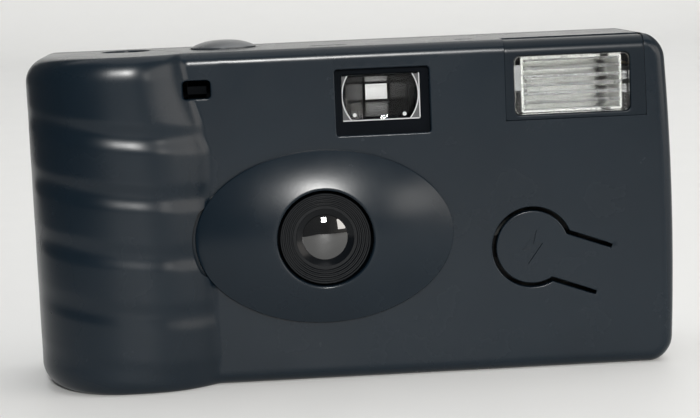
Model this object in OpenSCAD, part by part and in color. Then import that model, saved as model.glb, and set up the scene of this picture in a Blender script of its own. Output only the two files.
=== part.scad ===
// Disposable film camera with a built-in flash.
// X runs along the width, Y from the front to the back and Z up from the base.

/* [Body] */
// Width of the body
body_w = 117; // [116:0.5:121]
// Height of the body
body_h = 60.5; // [60.5:0.5:63]
// Depth from the front panel to the back
body_t = 30; // [29.5:0.5:32]
// Wall thickness of the covers
wall = 1.5; // [1.3:0.1:1.6]
// Radius of the corners seen from the front
corner_r = 4.5; // [4:0.5:7]
// Radius of the front and back edges
edge_r = 2.3; // [1.8:0.1:2.8]

/* [Grip] */
// How far the grip stands ahead of the front panel
grip_proud = 5.6; // [5:0.1:6.2]
// Distance of the grip's crest from the left side
grip_crest = 17.5; // [16:0.5:19]
// Radius of the grip's flank beside the panel
grip_flank_r = 20; // [18:0.5:23]
// Radius of the grip's top and bottom edges
grip_edge_r = 3.2; // [3:0.1:4.6]
// Distance between the finger grooves
groove_pitch = 10.65; // [10:0.05:11]
// Depth of a finger groove
groove_depth = 0.4; // [0.2:0.1:1.5]

/* [Lens] */
// Lens axis from the left side
lens_left = 52.9; // [52.3:0.1:53.5]
// Height of the lens axis
lens_z = 26.5; // [26.2:0.1:26.6]
// Width of the oval bulge
bulge_w = 46.7; // [42:0.1:48]
// Height of the oval bulge
bulge_h = 31.4; // [28:0.1:33]
// How far the bulge stands ahead of the front panel
bulge_proud = 4; // [3.4:0.1:4.6]
// Diameter of the lens opening
lens_hole_d = 17.3; // [16.8:0.1:18]
// Diameter of the aperture
aperture_d = 2.9; // [2.2:0.1:3.4]

/* [Viewfinder and flash] */
// Viewfinder axis from the left side
finder_left = 64.35; // [63.9:0.05:64.9]
// Width of the viewfinder opening
finder_w = 17; // [16:0.1:17.4]
// Height of the viewfinder opening
finder_h = 11.9; // [11:0.1:12.2]
// Middle of the flash window from the right side
flash_right = 18.2; // [17.7:0.1:18.7]
// Width of the flash window
flash_w = 20.8; // [20:0.1:21.4]
// Height of the flash window
flash_h = 10.5; // [10:0.1:10.8]

/* [Buttons and wheel] */
// Shutter button from the left side
button_left = 36.2; // [35.9:0.1:36.7]
// Diameter of the shutter button
button_d = 12.1; // [11.5:0.1:12.2]
// Flash button from the right side
charge_right = 26.3; // [25.7:0.1:26.9]
// Height of the flash button
charge_z = 22.6; // [22:0.1:23.2]
// Diameter of the flash button's disc
charge_d = 13.3; // [12.6:0.1:13.6]
// Diameter of the thumbwheel
wheel_d = 29.8; // [29.4:0.1:30.2]
// How far the thumbwheel stands out of the back
wheel_proud = 0.9; // [0.6:0.1:1.1]
// Diameter of the counter window
counter_d = 8.9; // [8:0.1:9.2]

/* [Hidden] */
$fn = 64;
lens_fn = 256;

// Colours
cover_color = [0.17, 0.19, 0.23];
black_color = [0.06, 0.06, 0.07];
chassis_color = [0.10, 0.10, 0.11];
clear_color = [0.80, 0.85, 0.88, 0.45];
steel_color = [0.70, 0.70, 0.72];
brass_color = [0.80, 0.62, 0.28];
board_color = [0.55, 0.42, 0.20];
film_color = [0.30, 0.20, 0.16];
white_color = [0.90, 0.90, 0.88];

// Gaps between pieces, and the reach of a cut past the face that it opens
slip = 0.05;
close_gap = 0.1;
side_gap = 0.15;
seat_gap = 0.2;
free_gap = 0.3;
turn_gap = 0.4;
loose_gap = 0.6;
cut = 1;

// Planes of the covers
left_x = -body_w / 2;
right_x = body_w / 2;
back_y = (body_t + grip_proud - wheel_proud) / 2;
front_y = back_y - body_t;
rear_depth = 5.35;
seam_y = back_y - rear_depth;
inner_front_y = front_y + wall;
inner_back_y = back_y - wall;
ceiling_z = body_h - wall;
inner_left_x = left_x + wall;
inner_right_x = right_x - wall;

// Places that are measured from the sides
lens_x = left_x + lens_left;
finder_x = left_x + finder_left;
button_x = left_x + button_left;
flash_x = right_x - flash_right;
charge_x = right_x - charge_right;

// Film path, all of it placed from the thumbwheel's axis
wheel_r = wheel_d / 2;
spool_x = inner_left_x + 0.5 + wheel_r;
spool_y = back_y + wheel_proud - wheel_r;
cassette_r = 12.5;
cassette_h = 46.6;
cassette_z0 = lens_z - cassette_h / 2;
cassette_z1 = lens_z + cassette_h / 2;
film_t = 0.2;
film_w = 35;
film_reach = 10.8;
film_y = spool_y + film_reach;
film_z0 = lens_z - film_w / 2;
film_z1 = lens_z + film_w / 2;
frame_w = 36;
frame_h = 24;
perf_pitch = 4.75;
perf_w = 2;
perf_h = 2.8;
perf_inset = 2;

// Stack of layers under the ceiling
dial_t = 1.4;
plate_t = 0.9;
wheel_t = 3.2;
deck_t = 1.2;
dial_z1 = ceiling_z - loose_gap;
dial_z0 = dial_z1 - dial_t;
plate_z1 = dial_z0 - free_gap;
plate_z0 = plate_z1 - plate_t;
wheel_z1 = plate_z0 - turn_gap;
wheel_z0 = wheel_z1 - wheel_t;
deck_z1 = wheel_z0 - 0.5;
deck_z0 = deck_z1 - deck_t;
lip_t = 0.9;
lip_l = 1.8;
floor_t = 1.1;
floor_z0 = wall + close_gap + lip_t + free_gap;
floor_z1 = floor_z0 + floor_t;

// Fork of the thumbwheel in the cassette's spool
fork_r = 2.8;
fork_bore_r = fork_r + free_gap;
fork_depth = 2.6;
fork_slot = 1.6;
wheel_pin_r = 2.2;

// Sprocket that the film turns
teeth = 8;
tooth_w = 1.4;
sprocket_r = 5.5;
sprocket_tip_r = 6.4;
sprocket_t = 2.4;
sprocket_drop = 3.1;
sprocket_y = film_y - film_t / 2 - close_gap - sprocket_tip_r;
sprocket_reach = cassette_r + sprocket_tip_r + turn_gap;
sprocket_x = spool_x + sqrt(pow(sprocket_reach, 2) - pow(sprocket_y - spool_y, 2));
sprocket_z0 = film_z1 - sprocket_drop;
sprocket_z1 = sprocket_z0 + sprocket_t;
shaft_r = 1.5;
stub_r = 1;
bearing_t = 1;
bearing_z1 = sprocket_z0 - turn_gap;
bearing_z0 = bearing_z1 - bearing_t;

// Frame counter
counter_r = counter_d / 2;
counter_x = button_x - 18.2;
counter_y = 6;
dial_r = 7.7;
dial_x = counter_x + 4.5;
dial_y = counter_y + 1.4;
dial_post_r = 1.2;
dial_teeth = 30;
dial_notch_r = 0.45;
finger_t = 0.6;
finger_w = 1.2;
finger_reach = norm([sprocket_x - dial_x, sprocket_y - dial_y]) - dial_r - side_gap;

// Shutter button and the levers under it
button_r = button_d / 2;
button_y = 4;
button_proud = 1.5;
button_z0 = ceiling_z - seat_gap;
peg_r = 0.9;
peg_y = button_y - 4.2;
lever_t = 1.2;
lever_z0 = deck_z1 + 1.7;
lever_z1 = lever_z0 + lever_t;
lever_y = peg_y - 4.3;
lever_half_w = 2;
lever_pin_r = 0.8;
lever_post_t = 1.2;
peg_z0 = lever_z1 + 0.25;
striker_x = lens_x - 6.4;
striker_y = 2;
striker_t = 1.4;
striker_z0 = deck_z1 + free_gap;
striker_z1 = striker_z0 + striker_t;
striker_post_r = 1.5;
striker_arm_w = 2.4;

// Shutter between the lens and the chassis
shutter_y = inner_front_y + 0.25;
shutter_plate_t = 1;
blade_side = 0.5;
blade_t = 0.3;
blade_y = shutter_y + shutter_plate_t + blade_side;
blade_pivot_r = 1;
blade_pivot_x = lens_x - 8.9;
blade_pivot_z = lens_z + 8.5;
blade_tab_z = deck_z0 - 0.9;
striker_tip_y = blade_y - loose_gap;
striker_finger_t = 1.2;
striker_finger_z = blade_tab_z + free_gap;
chassis_t = 1.2;
chassis_y0 = blade_y + blade_t + blade_side;
chassis_y1 = chassis_y0 + chassis_t;
gate_t = 1.6;
gate_y1 = film_y - film_t / 2 - seat_gap;
gate_y0 = gate_y1 - gate_t;

// Viewfinder
finder_drop = 10.05;
finder_z = body_h - finder_drop;
finder_corner_r = 0.5;
finder_lens_w = finder_w - 3;
finder_lens_h = finder_h - 2.1;
finder_lens_t = 1.8;
finder_y0 = front_y + 1.1;
finder_lens_y0 = finder_y0 + free_gap;
finder_seat_y = finder_lens_y0 + finder_lens_t;
finder_under_z = finder_z - finder_h / 2 - free_gap;
eyepiece_w = 11;
eyepiece_h = 8.4;
eyepiece_corner_r = 0.8;
eyepiece_y = back_y - free_gap;

// Film supply
roll_r = 8.4;
roll_x = lens_x + frame_w / 2 + 12.6;
roll_y = film_y - film_t / 2 - close_gap - roll_r;
roll_core_r = 5;
roll_bay_r = 10;
roll_bay_t = 0.9;
roll_pin_r = 1.5;
roll_flange_t = 0.8;
roll_z0 = film_z0 - turn_gap - roll_flange_t;
roll_z1 = film_z1 + turn_gap + roll_flange_t;

// Cell
battery_r = 7.05;
battery_l = 50;
battery_cap_r = 2.7;
battery_cap_h = 1.2;
battery_x = inner_right_x - 1.4 - battery_r;
battery_y = inner_back_y - 1.3 - battery_r;
battery_z0 = floor_z1 + loose_gap;
battery_z1 = battery_z0 + battery_l;
strip_t = 0.4;
strip_half_w = 4;
leaf_t = 0.25;

// Flash unit
flash_drop = 8.45;
flash_z = body_h - flash_drop;
bezel_x0 = flash_x - flash_w / 2 - 1.85;
bezel_x1 = flash_x + flash_w / 2 + 2.3;
bezel_z0 = flash_z - flash_h / 2 - 1;
bezel_inset = 0.25;
bezel_top_depth = 6;
bezel_t = 1.2;
window_y0 = front_y - slip;
window_t = 1.1;
window_corner_r = 0.4;
window_ribs = 9;
rib_h = 0.3;
reflector_w = flash_w - 2.5;
reflector_h = flash_h - 0.5;
reflector_skin = 0.5;
reflector_y0 = window_y0 + window_t + 0.5;
reflector_bowl_r = reflector_h / 2 - 0.4;
reflector_bowl_y = reflector_y0 + 2.2;
reflector_x0 = flash_x - reflector_w / 2;
reflector_x1 = flash_x + reflector_w / 2;
tube_r = 1.6;
tube_y = reflector_bowl_y + 1.4;
tube_over = 0.6;
board_t = 1.2;
board_y0 = front_y + 5.25;
board_y1 = board_y0 + board_t;
board_x0 = roll_x - roll_bay_r / 2;
board_x1 = inner_right_x - 0.8;
board_z0 = floor_z1 + 0.8;
board_z1 = bezel_z0 - gate_t;
pipe_r = 1.5;
pipe_x = finder_x + finder_w / 2 + 3.85;
lamp_r = 1.4;
lamp_l = 2.4;

// Flash button, a keyhole tongue that leans down to the right
charge_r = charge_d / 2;
charge_slot = 0.75;
charge_lean = -20;
charge_tongue_w = 8.3;
charge_root = 13.9;
charge_root_gap = 0.08;
bolt_depth = 0.25;
bolt_outline = [[0.9, 3.2], [-1.9, -0.4], [-0.2, -0.4], [-0.9, -3.2], [1.9, 0.6], [0.2, 0.6]];

// Film door under the cassette
door_l = 23;
door_margin = 1.7;
door_x0 = left_x + corner_r + door_margin;
door_x1 = door_x0 + door_l;
door_y0 = spool_y - cassette_r + close_gap;
door_y1 = seam_y - lip_l - loose_gap;

// Window in the front with the chassis hook behind it, and slots in the top
snap_w = 4.9;
snap_h = 3.3;
snap_corner_r = 0.7;
snap_x0 = left_x + 28.7;
snap_x1 = snap_x0 + snap_w;
snap_z0 = body_h - 8.2;
hook_x0 = snap_x0 + 0.8;
hook_x1 = snap_x1 - 0.7;
hook_t = 1.4;
hook_z0 = snap_z0 + 0.75;
hook_z1 = hook_z0 + hook_t;
slot_w = 1.2;
slot_y = -4;
slot_x0 = lens_x - 0.8;
slot_l = 6.65;
small_slot_x0 = pipe_x + 2.1;
small_slot_l = 3.1;
latch_t = 0.8;

// Grip
crest_x = left_x + grip_crest;
grip_depth = 18;
grip_bay_r = 16.3;
grip_bay_x = crest_x + 1;
grip_bay_y = front_y + grip_bay_r - 1.1;
grip_bay_x1 = crest_x + 9;
groove_first = 4.05;
groove_last = 4;
groove_half = 2.9;
groove_tilt = 0.13;
groove_bend = 0.0035;

// Bulge round the lens, which ends in a step at its rim
bulge_hub_r = lens_hole_d / 2 - 0.6;
bulge_step = 1.2;
bulge_power = 1.2;
lens_well_r0 = 13.4;
lens_well_r1 = lens_hole_d / 2 + 0.8;
lens_well_roof = 1.6;

// Mesh steps of the front cover's outer surface
edge_steps = 5;
row_steps = 46;
left_steps = 8;
flank_steps = 5;
panel_steps = 3;
bulge_sides = 60;
bulge_rings = 6;
loop_steps = 6;

// Block between two opposite corners
module box(a, b) {
    translate(a) cube(b - a);
}

// Round bar along X
module rod_x(r, x0, x1, y, z) {
    translate([x0, y, z]) rotate([0, 90, 0]) cylinder(r = r, h = x1 - x0);
}

// Round bar along Y
module rod_y(r, x, y0, y1, z) {
    translate([x, y0, z]) rotate([-90, 0, 0]) cylinder(r = r, h = y1 - y0);
}

// Round bar along Z
module rod_z(r, x, y, z0, z1) {
    translate([x, y, z0]) cylinder(r = r, h = z1 - z0);
}

// Flat outline in X and Z, given thickness from y0 to y1
module slab(y0, y1) {
    translate([0, y1, 0]) rotate([90, 0, 0]) linear_extrude(y1 - y0) children();
}

// Flat outline in X and Y, given thickness from z0 to z1
module deck(z0, z1) {
    translate([0, 0, z0]) linear_extrude(z1 - z0) children();
}

// Rectangle with round corners
module round_rect(x0, x1, z0, z1, r) {
    translate([x0 + r, z0]) square([x1 - x0 - 2 * r, z1 - z0]);
    translate([x0, z0 + r]) square([x1 - x0, z1 - z0 - 2 * r]);
    for (x = [x0 + r, x1 - r], z = [z0 + r, z1 - r]) translate([x, z]) circle(r);
}

// Rectangle with round corners about a centre
module centred_rect(x, z, w, h, r) {
    round_rect(x - w / 2, x + w / 2, z - h / 2, z + h / 2, r);
}

// Outline of the body seen from the front, drawn in by some distance
module body_outline(inset) {
    round_rect(left_x + inset, right_x - inset, inset, body_h - inset, corner_r - inset);
}

// Opening through the front wall
module front_opening() {
    slab(front_y - cut, inner_front_y + cut) children();
}

// Opening through the back wall
module back_opening() {
    slab(inner_back_y - cut, back_y + cut) children();
}

// Round hole through the top wall
module top_hole(r, x, y) {
    rod_z(r, x, y, ceiling_z - cut, body_h + cut);
}

// Narrow slot through the top wall
module top_slot(x0, l) {
    box([x0, slot_y - slot_w / 2, ceiling_z - cut], [x0 + l, slot_y + slot_w / 2, body_h + cut]);
}

// Drop of a rounded edge at a distance from the edge
function fillet(d, r) = d < r ? r - sqrt(r * r - pow(r - max(d, 0), 2)) : 0;

// How far the rounded corners draw in the sides at a height
function corner_in(z) = fillet(min(z, body_h - z), corner_r);

// Distance from the panel's top, bottom and right edges
function edge_gap(x, z) =
    let (qx = x - right_x + corner_r)
    let (qz = abs(z - body_h / 2) - body_h / 2 + corner_r)
    corner_r - norm([max(qx, 0), max(qz, 0)]) - min(max(qx, qz), 0);

// Depth of the finger grooves, which climb towards the left side
function groove(x, z) =
    let (s = x - crest_x)
    let (h = z - groove_first + groove_tilt * s - groove_bend * s * s)
    let (k = min(max(round(h / groove_pitch), 0), groove_last))
    let (t = abs(h - k * groove_pitch))
    t < groove_half ? groove_depth * (1 + cos(180 * t / groove_half)) / 2 : 0;

// Front surface of the flat panel
function panel_y(x, z) = front_y + fillet(edge_gap(x, z), edge_r);

// Front surface of the grip, where u is 1 on the left side and 0 at the crest
function grip_y(x, u, z) =
    let (s = x - crest_x)
    let (side = grip_depth * (1 - sqrt(1 - u * u)))
    let (flank = grip_flank_r - sqrt(pow(grip_flank_r, 2) - s * s))
    let (plan = s < 0 ? side : flank)
    front_y - grip_proud + plan + groove(x, z) + fillet(min(z, body_h - z), grip_edge_r);

// Line where the grip's flank meets the panel
function crease_x(z) =
    let (e = min(z, body_h - z))
    let (dip = groove(crest_x + grip_crest * 0.75, z))
    let (h = grip_proud - dip - fillet(e, grip_edge_r) + fillet(e, edge_r))
    crest_x + sqrt(pow(grip_flank_r, 2) - pow(grip_flank_r - h, 2));

// Distances that follow a rounded edge in equal turns
edge_set = [for (k = [0 : edge_steps]) edge_r * (1 - cos(90 * k / edge_steps))];

// Heights of the rows of the front surface
row_set = concat(
    edge_set,
    [for (k = [1 : row_steps - 1]) edge_r + (body_h - 2 * edge_r) * k / row_steps],
    [for (k = [edge_steps : -1 : 0]) body_h - edge_set[k]]
);

// One row of the front surface from the left side to the right side
function front_row(z) =
    let (row_x0 = left_x + corner_in(z))
    let (row_x1 = right_x - corner_in(z))
    let (join_x = crease_x(z))
    concat(
        [
            for (k = [0 : left_steps - 1])
            let (u = cos(90 * k / left_steps))
            let (x = crest_x - (crest_x - row_x0) * u)
            [x, grip_y(x, u, z), z]
        ],
        [
            for (k = [0 : flank_steps - 1])
            let (x = crest_x + (join_x - crest_x) * k / flank_steps)
            [x, grip_y(x, 0, z), z]
        ],
        [
            for (k = [0 : panel_steps])
            let (x = join_x + (row_x1 - edge_r - join_x) * k / panel_steps)
            [x, panel_y(x, z), z]
        ],
        [
            for (k = [edge_steps - 1 : -1 : 0])
            let (x = row_x1 - edge_set[k])
            [x, panel_y(x, z), z]
        ]
    );

// Two triangles for each four-sided face
function halves(quads) = [for (q = quads) each [[q[0], q[1], q[2]], [q[0], q[2], q[3]]]];

// Four-sided faces between rings of n points
function ring_faces(rings, n) = [
    for (k = [0 : rings - 2], i = [0 : n - 1])
    let (j = (i + 1) % n)
    [k * n + i, k * n + j, (k + 1) * n + j, (k + 1) * n + i]
];

// Solid of rings of points, closed at both ends
module ring_solid(rings) {
    n = len(rings[0]);
    last = len(rings) - 1;
    near_end = [for (i = [n - 1 : -1 : 0]) i];
    far_end = [for (i = [0 : n - 1]) last * n + i];
    faces = concat(halves(ring_faces(len(rings), n)), [near_end, far_end]);
    polyhedron([for (ring = rings) each ring], faces, convexity = 4);
}

// Solid inside the front cover's outer surface
module front_skin() {
    rows = [for (z = row_set) front_row(z)];
    nr = len(rows);
    nc = len(rows[0]);
    front = [for (row = rows) each row];
    loop = concat(
        [for (c = [0 : nc - 1]) c],
        [for (r = [1 : nr - 1]) r * nc + nc - 1],
        [for (c = [nc - 2 : -1 : 0]) (nr - 1) * nc + c],
        [for (r = [nr - 2 : -1 : 1]) r * nc]
    );
    nl = len(loop);
    back = [for (i = loop) [front[i][0], seam_y, front[i][2]]];
    quads = [
        for (r = [0 : nr - 2], c = [0 : nc - 2])
        [r * nc + c, (r + 1) * nc + c, (r + 1) * nc + c + 1, r * nc + c + 1]
    ];
    sides = [
        for (i = [0 : nl - 1])
        let (j = (i + 1) % nl)
        [loop[i], loop[j], nr * nc + j, nr * nc + i]
    ];
    cap = [for (i = [0 : nl - 1]) nr * nc + i];
    polyhedron(concat(front, back), concat(halves(concat(quads, sides)), [cap]), convexity = 6);
}

// Point of the bulge, where t is 0 inside the lens opening and 1 at the rim
function bulge_point(a, t) =
    let (rx = bulge_hub_r * (1 - t) + bulge_w / 2 * t)
    let (rz = bulge_hub_r * (1 - t) + bulge_h / 2 * t)
    let (drop = (bulge_proud - bulge_step) * pow(t, bulge_power))
    [lens_x + rx * cos(a), front_y - bulge_proud + drop, lens_z + rz * sin(a)];

// Oval bulge round the lens
module lens_bulge() {
    angles = [for (i = [0 : bulge_sides - 1]) 360 * i / bulge_sides];
    dome = [for (k = [0 : bulge_rings]) [for (a = angles) bulge_point(a, k / bulge_rings)]];
    foot = [for (p = dome[bulge_rings]) [p[0], front_y + wall / 2, p[2]]];
    ring_solid(concat(dome, [foot]));
}

// Loop of points round the body outline, drawn in and set back
function body_loop(inset, y) = [
    for (q = [0 : 3], k = [0 : loop_steps])
    let (a = 90 * q + 90 * k / loop_steps)
    let (cx = (q == 0 || q == 3 ? 1 : -1) * (body_w / 2 - corner_r))
    let (cz = q < 2 ? body_h - corner_r : corner_r)
    [cx + (corner_r - inset) * cos(a), y, cz + (corner_r - inset) * sin(a)]
];

// Solid inside the rear cover's outer surface
module rear_skin() {
    edge = [
        for (k = [0 : edge_steps])
        let (a = 90 * k / edge_steps)
        body_loop(edge_r * (1 - cos(a)), back_y - edge_r + edge_r * sin(a))
    ];
    ring_solid(concat([body_loop(0, seam_y)], edge));
}

// Keyhole outline of the flash button, widened by some distance
module keyhole(grow, reach) {
    translate([charge_x, charge_z]) rotate(charge_lean) {
        circle(charge_r + grow);
        translate([0, -charge_tongue_w / 2 - grow]) square([reach, charge_tongue_w + 2 * grow]);
    }
}

// Room that the grip adds ahead of the panel
module grip_bay() {
    z0 = wall + grip_edge_r / 2;
    z1 = ceiling_z - grip_edge_r / 2;
    intersection() {
        rod_z(grip_bay_r, grip_bay_x, grip_bay_y, wall, ceiling_z);
        box([inner_left_x, front_y - grip_proud, z0], [grip_bay_x1, seam_y, z1]);
    }
}

// Opening of the lens with the hollow behind the bulge
module lens_well() {
    depth = cut + wall + bulge_proud - lens_well_roof;
    translate([lens_x, inner_front_y + cut, lens_z]) rotate([90, 0, 0])
        cylinder(r1 = lens_well_r0, r2 = lens_well_r1, h = depth);
    rod_y(lens_hole_d / 2, lens_x, front_y - bulge_proud - cut, inner_front_y, lens_z);
}

// Notch in the front and the top for the flash insert
module bezel_notch() {
    x0 = bezel_x0 - close_gap;
    x1 = bezel_x1 + close_gap;
    box([x0, front_y - cut, bezel_z0 - close_gap], [x1, inner_front_y + close_gap, body_h + cut]);
    box([x0, front_y, ceiling_z - close_gap], [x1, front_y + bezel_top_depth + close_gap, body_h + cut]);
}

// Front shell with the grip, the bulge and every opening
module front_cover() {
    color(cover_color) difference() {
        resize([body_w, 0, 0]) union() {
            front_skin();
            lens_bulge();
        }
        slab(inner_front_y, seam_y + cut) body_outline(wall);
        grip_bay();
        lens_well();
        bezel_notch();
        front_opening() centred_rect(finder_x, finder_z, finder_w, finder_h, finder_corner_r);
        front_opening() round_rect(snap_x0, snap_x1, snap_z0, snap_z0 + snap_h, snap_corner_r);
        front_opening() keyhole(charge_slot, charge_root);
        top_hole(button_r + side_gap, button_x, button_y);
        top_hole(counter_r + close_gap, counter_x, counter_y);
        top_slot(slot_x0, slot_l);
        top_slot(small_slot_x0, small_slot_l);
        box([door_x0, door_y0, -cut], [door_x1, door_y1, wall + cut]);
    }
}

// Lip of the rear cover that slides into the front cover
module rear_lip() {
    lip_in = wall + close_gap + lip_t;
    y0 = seam_y - lip_l - cut;
    y1 = seam_y + lip_l + cut;
    difference() {
        union() {
            slab(seam_y - lip_l, seam_y) body_outline(wall + close_gap);
            slab(seam_y, seam_y + lip_l) body_outline(wall / 2);
        }
        slab(y0, y1) body_outline(lip_in);
        box([dial_x - dial_r - free_gap, y0, dial_z0 - free_gap],
            [button_x + button_r + cut, y1, ceiling_z]);
    }
}

// Rails on the rear cover that keep the film flat
module film_rails() {
    rail_w = 1.2;
    rail_out = 0.5;
    rail_over = 2;
    y0 = film_y + film_t / 2 + seat_gap;
    x0 = lens_x - frame_w / 2;
    x1 = lens_x + frame_w / 2 + rail_over;
    for (z = [film_z0 - rail_out, film_z1 + rail_out])
        box([x0, y0, z - rail_w / 2], [x1, inner_back_y + wall / 2, z + rail_w / 2]);
}

// Back shell with the thumbwheel slot, the eyepiece and the ready light hole
module rear_cover() {
    slot_half = sqrt(pow(wheel_r, 2) - pow(inner_back_y - spool_y, 2)) + lip_t;
    color(cover_color) difference() {
        union() {
            difference() {
                rear_skin();
                slab(seam_y - cut, inner_back_y) body_outline(wall);
            }
            rear_lip();
            film_rails();
        }
        box([spool_x - slot_half, inner_back_y - cut, wheel_z0 - free_gap],
            [spool_x + slot_half, back_y + cut, wheel_z1 + free_gap]);
        back_opening() centred_rect(finder_x, finder_z, eyepiece_w, eyepiece_h, eyepiece_corner_r);
        rod_y(pipe_r + close_gap, pipe_x, inner_back_y - cut, back_y + cut, finder_z);
    }
}

// Hinged door under the cassette
module film_door() {
    notch_w = 8;
    notch_l = 1.3;
    notch_d = 0.6;
    x0 = door_x0 + side_gap;
    color(cover_color) difference() {
        box([x0, door_y0 + side_gap, 0], [door_x1 - slip, door_y1 - side_gap, wall]);
        box([x0 - cut, spool_y - notch_w / 2, -cut], [door_x0 + notch_l, spool_y + notch_w / 2, notch_d]);
    }
}

// Tongue that is pressed to charge the flash, marked with a bolt
module flash_button() {
    color(cover_color) difference() {
        slab(front_y, inner_front_y) keyhole(0, charge_root - charge_root_gap);
        translate([charge_x, 0, charge_z]) slab(front_y - cut, front_y + bolt_depth) polygon(bolt_outline);
    }
}

// Insert round the flash window that wraps over the top edge
module flash_bezel() {
    y0 = front_y + bezel_inset;
    z1 = body_h - bezel_inset;
    opening_w = flash_w + 2 * close_gap;
    opening_h = flash_h + 2 * close_gap;
    color(cover_color) difference() {
        union() {
            box([bezel_x0, y0, bezel_z0], [bezel_x1, y0 + bezel_t, body_h - edge_r]);
            box([bezel_x0, y0 + edge_r, ceiling_z], [bezel_x1, front_y + bezel_top_depth, z1]);
            intersection() {
                rod_x(edge_r, bezel_x0, bezel_x1, y0 + edge_r, z1 - edge_r);
                box([bezel_x0, y0, z1 - edge_r - bezel_inset], [bezel_x1, y0 + edge_r, body_h]);
            }
        }
        slab(front_y - cut, front_y + 2 * wall)
            centred_rect(flash_x, flash_z, opening_w, opening_h, window_corner_r + close_gap);
    }
}

// Clear window with horizontal ribs on its inner face
module flash_window() {
    rib_r = 0.45;
    rib_end = 0.6;
    rib_margin = 0.8;
    pitch = (flash_h - 2 * rib_margin) / window_ribs;
    y1 = window_y0 + window_t;
    color(clear_color) union() {
        slab(window_y0, y1) centred_rect(flash_x, flash_z, flash_w, flash_h, window_corner_r);
        for (k = [0 : window_ribs - 1]) intersection() {
            rod_x(rib_r, reflector_x0 + rib_end, reflector_x1 - rib_end, y1,
                flash_z + pitch * (k - (window_ribs - 1) / 2));
            box([reflector_x0, y1 - window_t / 2, flash_z - flash_h],
                [reflector_x1, y1 + rib_h, flash_z + flash_h]);
        }
    }
}

// Bright trough behind the window
module flash_reflector() {
    x0 = reflector_x0;
    x1 = reflector_x1;
    in_x0 = x0 + reflector_skin;
    in_x1 = x1 - reflector_skin;
    half = reflector_h / 2;
    color(steel_color) difference() {
        union() {
            box([x0, reflector_y0, flash_z - half], [x1, reflector_bowl_y, flash_z + half]);
            intersection() {
                rod_x(reflector_bowl_r + reflector_skin, x0, x1, reflector_bowl_y, flash_z);
                box([x0, reflector_y0, flash_z - reflector_h],
                    [x1, reflector_y0 + reflector_h, flash_z + reflector_h]);
            }
        }
        box([in_x0, reflector_y0 - cut, flash_z - reflector_bowl_r],
            [in_x1, reflector_bowl_y, flash_z + reflector_bowl_r]);
        rod_x(reflector_bowl_r, in_x0, in_x1, reflector_bowl_y, flash_z);
        rod_x(tube_r + close_gap, x0 - cut, x1 + cut, tube_y, flash_z);
    }
}

// Glass tube that gives the light
module flash_tube() {
    color(clear_color) rod_x(tube_r, reflector_x0 - tube_over, reflector_x1 + tube_over, tube_y, flash_z);
}

// Metal ends of the tube and the wires that lead to the board
module tube_leads() {
    end_l = 0.8;
    wire_r = 0.25;
    half = reflector_w / 2 + tube_over;
    color(steel_color) for (s = [-1, 1]) {
        x = flash_x + s * (half + end_l / 2);
        rod_x(tube_r, x - end_l / 2, x + end_l / 2, tube_y, flash_z);
        rod_z(wire_r, x, tube_y, board_z1, flash_z);
    }
}

// Circuit board beside the lens, with an arm that carries the ready lamp
module flash_board() {
    arm_x = pipe_x - 1.8;
    arm_w = 9;
    arm_foot = 4;
    arm_over = 5;
    hole_r = 1.2;
    hole_z = floor_z1 + 6;
    color(board_color) difference() {
        slab(board_y0, board_y1) union() {
            translate([board_x0, board_z0]) square([board_x1 - board_x0, board_z1 - board_z0]);
            translate([arm_x, board_z1 - arm_foot])
                square([arm_w, finder_z - board_z1 + arm_foot + arm_over]);
        }
        for (x = [charge_x - 8.5, charge_x + 17]) rod_y(hole_r, x, board_y0 - cut, board_y1 + cut, hole_z);
    }
}

// Capacitor in the bay below the light baffle
module flash_capacitor() {
    can_r = 5;
    can_l = 24;
    end_in = 0.5;
    end_l = 0.4;
    leg_r = 0.4;
    leg_l = 4;
    leg_half = 2;
    y = chassis_y1 + loose_gap + can_r;
    z = floor_z1 + loose_gap + can_r;
    x0 = lens_x - can_l / 2;
    x1 = x0 + can_l;
    color(black_color) union() {
        rod_x(can_r, x0, x1, y, z);
        rod_x(can_r - end_in, x0 - end_l, x1 + end_l, y, z);
        for (s = [-leg_half, leg_half]) rod_x(leg_r, x1, x1 + leg_l, y, z + s);
    }
}

// Transformer on the back of the board
module flash_transformer() {
    half = 4.5;
    flange_t = 1.2;
    coil_r = 3.4;
    depth = min(battery_y - battery_r - board_y1 - turn_gap, 6);
    x = battery_x - 2;
    z = floor_z1 + 12;
    y1 = board_y1 + depth;
    color(brass_color) union() {
        box([x - half, board_y1, z - half], [x + half, board_y1 + flange_t, z + half]);
        rod_y(coil_r, x, board_y1, y1, z);
        box([x - half, y1 - flange_t, z - half], [x + half, y1, z + half]);
    }
}

// Spring leaf behind the flash button
module charge_contact() {
    leaf_y = inner_front_y + 1.75;
    half_h = 2;
    x0 = charge_x - 8.4;
    x1 = charge_x + 9;
    color(brass_color) union() {
        box([x0, leaf_y, charge_z - half_h], [x1, leaf_y + leaf_t, charge_z + half_h]);
        box([x1 - leaf_t, leaf_y, charge_z - half_h], [x1, board_y0, charge_z + half_h]);
    }
}

// Pair of leaves that the striker closes to fire the flash
module sync_contact() {
    pitch = 1.2;
    depth = 2.8;
    height = 4;
    y0 = chassis_y0 + seat_gap;
    z1 = deck_z0 - cut;
    x0 = lens_x + 2.2;
    color(brass_color) for (x = [x0, x0 + pitch]) box([x, y0, z1 - height], [x + leaf_t, y0 + depth, z1]);
}

// Small lamp on the board's arm
module neon_lamp() {
    color(clear_color) union() {
        rod_y(lamp_r, pipe_x, board_y1, board_y1 + lamp_l, finder_z);
        translate([pipe_x, board_y1 + lamp_l, finder_z]) sphere(lamp_r);
    }
}

// Clear rod that shows the lamp at the back
module ready_light_pipe() {
    y0 = board_y1 + lamp_l + lamp_r + seat_gap;
    color(clear_color) rod_y(pipe_r, pipe_x, y0, back_y - close_gap, finder_z);
}

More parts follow.
